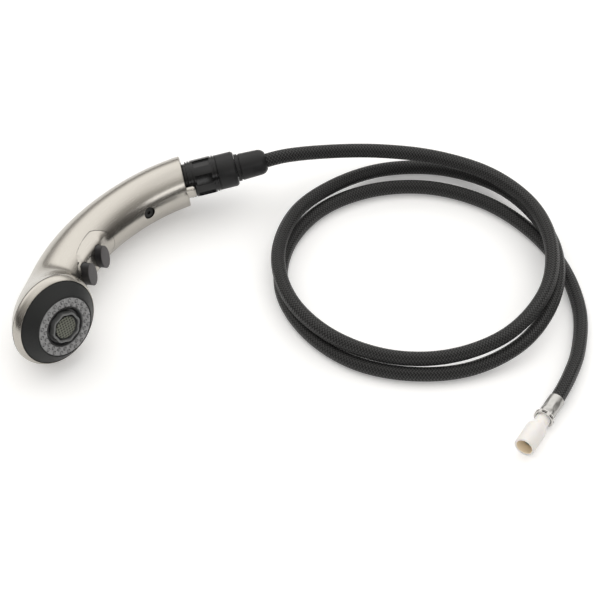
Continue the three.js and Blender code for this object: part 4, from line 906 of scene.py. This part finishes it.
bm = turned([
    (0, 8.3), (SCREEN_RADIUS, 8.3), (SCREEN_RADIUS, 9.1, 0.1), (5.5, 9.35), (3, 9.5), (0, 9.5),
], segments=96, closed=False)
screen = finish_piece(bm, "aerator_mesh", head_frame, [woven_screen])
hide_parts("aerator_screen")
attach(screen, "wand")

# ------------------------------------------------------------------ docking collar

# A drum with grooves at both ends and six windows round it, on a spigot with two O-rings. The
# tap grips the drum, and the key tab turns it the right way. It is black glass-filled nylon,
# moulded glossy, whose hard shine wavers a little along 2.9 mm flow marks.
COLLAR_RADIUS = 12.5
COLLAR_LENGTH = 22.9
COLLAR_FOOT = COLLAR_RADIUS - 1.2
SPIGOT_RADIUS = 8.6
O_RINGS_AT = (-9, -5)
GRIPS_AT = (3.6, 5.5, COLLAR_LENGTH - 2.6, COLLAR_LENGTH - 0.9)
WINDOW_SIZE = (3.6, 7, 11.4)
gloss_nylon = new_material(
    "gloss_black_nylon", "#111112", 0.2, IOR=1.53, Specular_IOR_Level=0.35,
)
fine_grain(gloss_nylon, per_mm=0.35, detail=3.0, bump=0.12, depth=0.3)


def grooves(radius, heights, half, depth, edge):
    """Corners of square grooves at these heights, whose edges are broken by this much."""
    return [
        corner
        for height in heights
        for corner in (
            (radius, height - half, edge), (radius - depth, height - half, edge),
            (radius - depth, height + half, edge), (radius, height + half, edge),
        )
    ]


bm = turned([
    (5, -11.5), (SPIGOT_RADIUS - 0.1, -11.5, 0.4),
    *grooves(SPIGOT_RADIUS, O_RINGS_AT, 1.05, 1.7, 0.1), (SPIGOT_RADIUS, -0.7),
    (COLLAR_FOOT, -0.7, 0.2), (COLLAR_FOOT, 2.3, 0.2), (COLLAR_RADIUS, 2.3, 0.3),
    *grooves(COLLAR_RADIUS, GRIPS_AT, 0.45, 0.7, 0.12), (COLLAR_RADIUS, COLLAR_LENGTH, 0.15),
    (9.2, COLLAR_LENGTH), (9.2, COLLAR_LENGTH + 3.4), (6.9, COLLAR_LENGTH + 3.4), (6.9, 0), (5, 0),
], segments=144)
collar = finish_piece(bm, "collar_drum", collar_frame, [gloss_nylon])
windows = blocks_round(
    WINDOW_SIZE, (COLLAR_RADIUS, 0, 13.2), [-23.3 - 60 * i for i in range(6)],
)
bmesh.ops.bevel(
    windows, geom=windows.edges[:], offset=0.35, affect="EDGES", segments=3, profile=0.5,
    material=-1,
)
cut(collar, finish_piece(windows, "windows", collar_frame, []))
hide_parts("docking_collar")
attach(collar, "wand")

# ------------------------------------------------------------------ hose nut and strain relief

# The nut screws on to the collar, and the strain relief turns in it. Both are satin black nylon,
# with a mould grain drawn at 0.6 mm, coarser than the real one. The nut is plain with a chamfer,
# and the relief has a fluted shoulder, a barrel and a nose down to the hose.
NUT_RADIUS = 11.9
NUT_BORE = 6.55
NUT_START = COLLAR_LENGTH + 0.05
NUT_END = NUT_START + 12.55
THREAD_RADIUS, THREAD_END = 9.5, 30.8
RELIEF_RADIUS = 9.3
RELIEF_BORE, RELIEF_BORE_END = 6.5, 44.1
RELIEF_START = NUT_END + 0.1
RELIEF_END = RELIEF_START + 20.9
FLUTE_SIZE = (0.6, 1.1, 4.2)
satin_nylon = new_material("satin_black_nylon", "#1a1a1b", 0.42, IOR=1.53, Specular_IOR_Level=0.3)
fine_grain(satin_nylon, per_mm=1.6, detail=3.0, tones=("#151516", "#202021"), bump=0.2)
bm = turned([
    (THREAD_RADIUS, NUT_START), (NUT_RADIUS, NUT_START, 0.4), (NUT_RADIUS, NUT_END - 1.3, 0.5),
    (10.6, NUT_END, 0.3), (NUT_BORE, NUT_END), (NUT_BORE, THREAD_END), (THREAD_RADIUS, THREAD_END),
], segments=128)
hose_nut = finish_piece(bm, "clamping_nut", collar_frame, [satin_nylon])
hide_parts("hose_nut")
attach(hose_nut, "wand")

bm = turned([
    (RELIEF_BORE, RELIEF_START), (RELIEF_RADIUS, RELIEF_START, 0.2),
    (RELIEF_RADIUS, RELIEF_START + 2.3, 0.3), (8.6, RELIEF_START + 2.3, 0.1),
    (8.6, RELIEF_START + 2.9, 0.1), (9.1, RELIEF_START + 3.2, 0.2), (8.6, RELIEF_END - 4.2, 0.8),
    (8.2, RELIEF_END - 2.8, 0.5), (7.2, RELIEF_END - 1.2, 0.5), (5.85, RELIEF_END - 0.1, 0.3),
    (5.05, RELIEF_END), (5.05, RELIEF_END - 2), (INSERT_RADIUS, RELIEF_END - 2),
    (INSERT_RADIUS, RELIEF_BORE_END), (RELIEF_BORE, RELIEF_BORE_END),
], segments=120)
strain_relief = finish_piece(bm, "relief_barrel", collar_frame, [satin_nylon])
flutes = blocks_round(
    FLUTE_SIZE, (THREAD_RADIUS, 0, RELIEF_START), [-36 * (i + 0.5) for i in range(10)],
)
cut(strain_relief, finish_piece(flutes, "flutes", collar_frame, []))
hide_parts("strain_relief")
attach(strain_relief, "hose_end")

# ------------------------------------------------------------------ fixing screw

# A steel socket screw, sunk in the round hole in the underside, holds the waterway. Its black
# oxide is dull and soaks up light, over a grain drawn at 0.8 mm, coarser than the real one.
SHANK_RADIUS = 1.6
SCREW_RADIUS = 3.6
SCREW_TOP = HANDLE_RADIUS - 0.9
SCREW_NECK = SCREW_TOP - 2.4
SOCKET_RADIUS, SOCKET_DEPTH = 1.45, 1.5
black_oxide = new_material("black_oxide_steel", "#232322", 0.55, metallic=0.2)
fine_grain(black_oxide, per_mm=1.2, detail=4.0, bump=0.2)
bm = turned([
    (0, 8.4), (SHANK_RADIUS, 8.4, 0.2), (SHANK_RADIUS, SCREW_NECK), (SCREW_RADIUS, SCREW_NECK, 0.1),
    (SCREW_RADIUS, SCREW_TOP, 0.4), (0, SCREW_TOP),
], segments=48, closed=False)
screw = finish_piece(bm, "socket_screw", screw_frame, [black_oxide])
socket = round_bar(SOCKET_RADIUS, SCREW_TOP - SOCKET_DEPTH, SCREW_TOP + 2.5, 6)
cut(screw, finish_piece(socket, "socket", screw_frame, []))
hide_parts("fixing_screw")
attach(screw, "wand")

# ------------------------------------------------------------------ pieces inside the wand

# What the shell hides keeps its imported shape: the waterway and valve parts in black nylon, the
# plungers and check valve seat in acetal, springs in bright wire, and seals in nitrile rubber,
# which is matt with a 1.1 mm bloom.
nitrile = new_material("nitrile_rubber", "#1a1a1a", 0.65, IOR=1.52)
fine_grain(nitrile, per_mm=0.9, detail=3.0, bump=0.3)
INSIDE = {
    satin_nylon: [
        "valve_block", "waterway_tube", "diverter_body", "spray_plate", "outlet_tube",
        "check_poppet", "aerator_insert",
    ],
    natural_acetal: ["plunger_spray", "plunger_jet", "check_valve_seat", "inlet_nipple"],
    nitrile: [
        "plunger_seal_spray", "plunger_seal_jet", "collar_o_ring_rear", "collar_o_ring_front",
        "nut_washer", "aerator_washer", "face_gasket", "connector_o_ring",
    ],
    drawn_stainless: ["spring_spray", "spring_jet"],
}
for material, names in INSIDE.items():
    for name in names:
        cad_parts[name].data.materials.clear()
        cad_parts[name].data.materials.append(material)

# The check valve's spring is coiled anew, as it has to shorten when the poppet lifts by 3 mm.
COIL_TURNS = 5
COIL_STEPS = 24
COIL_RADIUS = 3.6
COIL_WIRE = 0.45
COIL_START, COIL_END = 0.3, 10.56
pitch = (COIL_END - COIL_START - 2 * COIL_WIRE) / COIL_TURNS / math.tau
coil_places = []
for i in range(COIL_STEPS * COIL_TURNS + 1):
    angle = math.tau * i / COIL_STEPS
    out = heading(angle)
    along = Vector((-COIL_RADIUS * out.y, COIL_RADIUS * out.x, pitch)).normalized()
    at = COIL_RADIUS * out + Vector((0, 0, COIL_START + COIL_WIRE + pitch * angle))
    turn = Matrix((out, along.cross(out), along)).transposed().to_4x4()
    wire = Matrix.Diagonal((COIL_WIRE, COIL_WIRE, 1, 1))
    coil_places.append(Matrix.Translation(at) @ turn @ wire)
bm = push_circle(coil_places, 8)
close_ends(bm)
check_coil = finish_piece(bm, "check_coil", collar_frame, [drawn_stainless])
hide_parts("check_spring")
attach(check_coil, "wand")
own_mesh(check_coil)

# ------------------------------------------------------------------ table, room and lamp

# A matt white table in a pale room. The far wall is bright from eye level up and the near wall only
# towards the ceiling, with a dark skirting all round, so that the nickel has something to show.
# What the camera sees of the table is lifted to white, less so in reflections.
FAR_WALL = (
    (0.0, "#807e7b"), (0.24, "#908e8b"), (0.42, "#edebe8"), (0.55, "#fffefc"), (0.85, "#f8f7f5"),
    (1.0, "#e8e7e5"),
)
NEAR_WALL = (
    (0.0, "#4a4846"), (0.33, "#4c4a48"), (0.5, "#747270"), (0.78, "#9a9894"), (0.94, "#d2d0cd"),
    (1.0, "#e8e7e5"),
)
TOWARD_FAR_WALL = (-0.643, 0.766, 0)
ROOM_LIGHT = 1.69
table_white = new_material("table_white", "#fbfbfb", 0.8)
table_nodes = table_white.node_tree.nodes
path = add_node(table_white, "LightPath").outputs
mirrored = add_node(
    table_white, "Math", {0: path["Is Glossy Ray"]}, operation="MULTIPLY", IN1=0.16,
)
lifted = add_node(
    table_white, "Math", {0: path["Is Camera Ray"], 2: mirrored.outputs[0]},
    operation="MULTIPLY_ADD", IN1=0.2,
)
lift = add_node(table_white, "Emission", {"Strength": lifted.outputs[0]})
lit = {0: table_nodes["Principled BSDF"].outputs[0], 1: lift.outputs[0]}
surface = add_node(table_white, "AddShader", lit)
table_white.node_tree.links.new(
    surface.outputs[0], table_nodes["Material Output"].inputs["Surface"],
)
bm = bmesh.new()
bmesh.ops.create_grid(bm, x_segments=1, y_segments=1, size=6)
table = finish_piece(bm, "table", Matrix.Translation((0.1, 0, 0)), [table_white])

room = bpy.data.worlds.new("room")
bpy.context.scene.world = room
room.use_nodes = True
direction = add_node(room, "TexCoord").outputs["Generated"]
height = add_node(room, "SeparateXYZ", {"Vector": direction}).outputs["Z"]
far_wall = add_node(room, "ValToRGB", {"Fac": height}, tones=FAR_WALL)
near_wall = add_node(room, "ValToRGB", {"Fac": height}, tones=NEAR_WALL)
farness = add_node(
    room, "VectorMath", {0: direction}, operation="DOT_PRODUCT", IN1=TOWARD_FAR_WALL,
)
to_far_wall = add_node(
    room, "MapRange", {"Value": farness.outputs["Value"]}, interpolation_type="SMOOTHSTEP",
    From_Min=-0.2, From_Max=0.5,
)
walls = add_node(
    room, "Mix",
    {0: to_far_wall.outputs["Result"], 6: near_wall.outputs["Color"], 7: far_wall.outputs["Color"]},
    data_type="RGBA",
)
seen = add_node(room, "LightPath").outputs["Is Camera Ray"]
view = add_node(
    room, "Mix", {0: seen, 6: walls.outputs[2]}, data_type="RGBA", IN7=(1, 1, 1, 1),
)
background = room.node_tree.nodes["Background"]
room.node_tree.links.new(view.outputs[2], background.inputs["Color"])
background.inputs["Strength"].default_value = ROOM_LIGHT

# One long window lights the wand from the right.
window = bpy.data.objects.new("window", bpy.data.lights.new("window", "AREA"))
window.data.shape = "RECTANGLE"
window.data.size, window.data.size_y = 1.7, 0.4
window.data.energy = 4.05
window.location = (1.16, -0.62, 0.83)
toward_wand = Vector((0.05, 0.03, 0)) - window.location
window.rotation_euler = toward_wand.to_track_quat("-Z", "Y").to_euler()
bpy.context.scene.collection.objects.link(window)
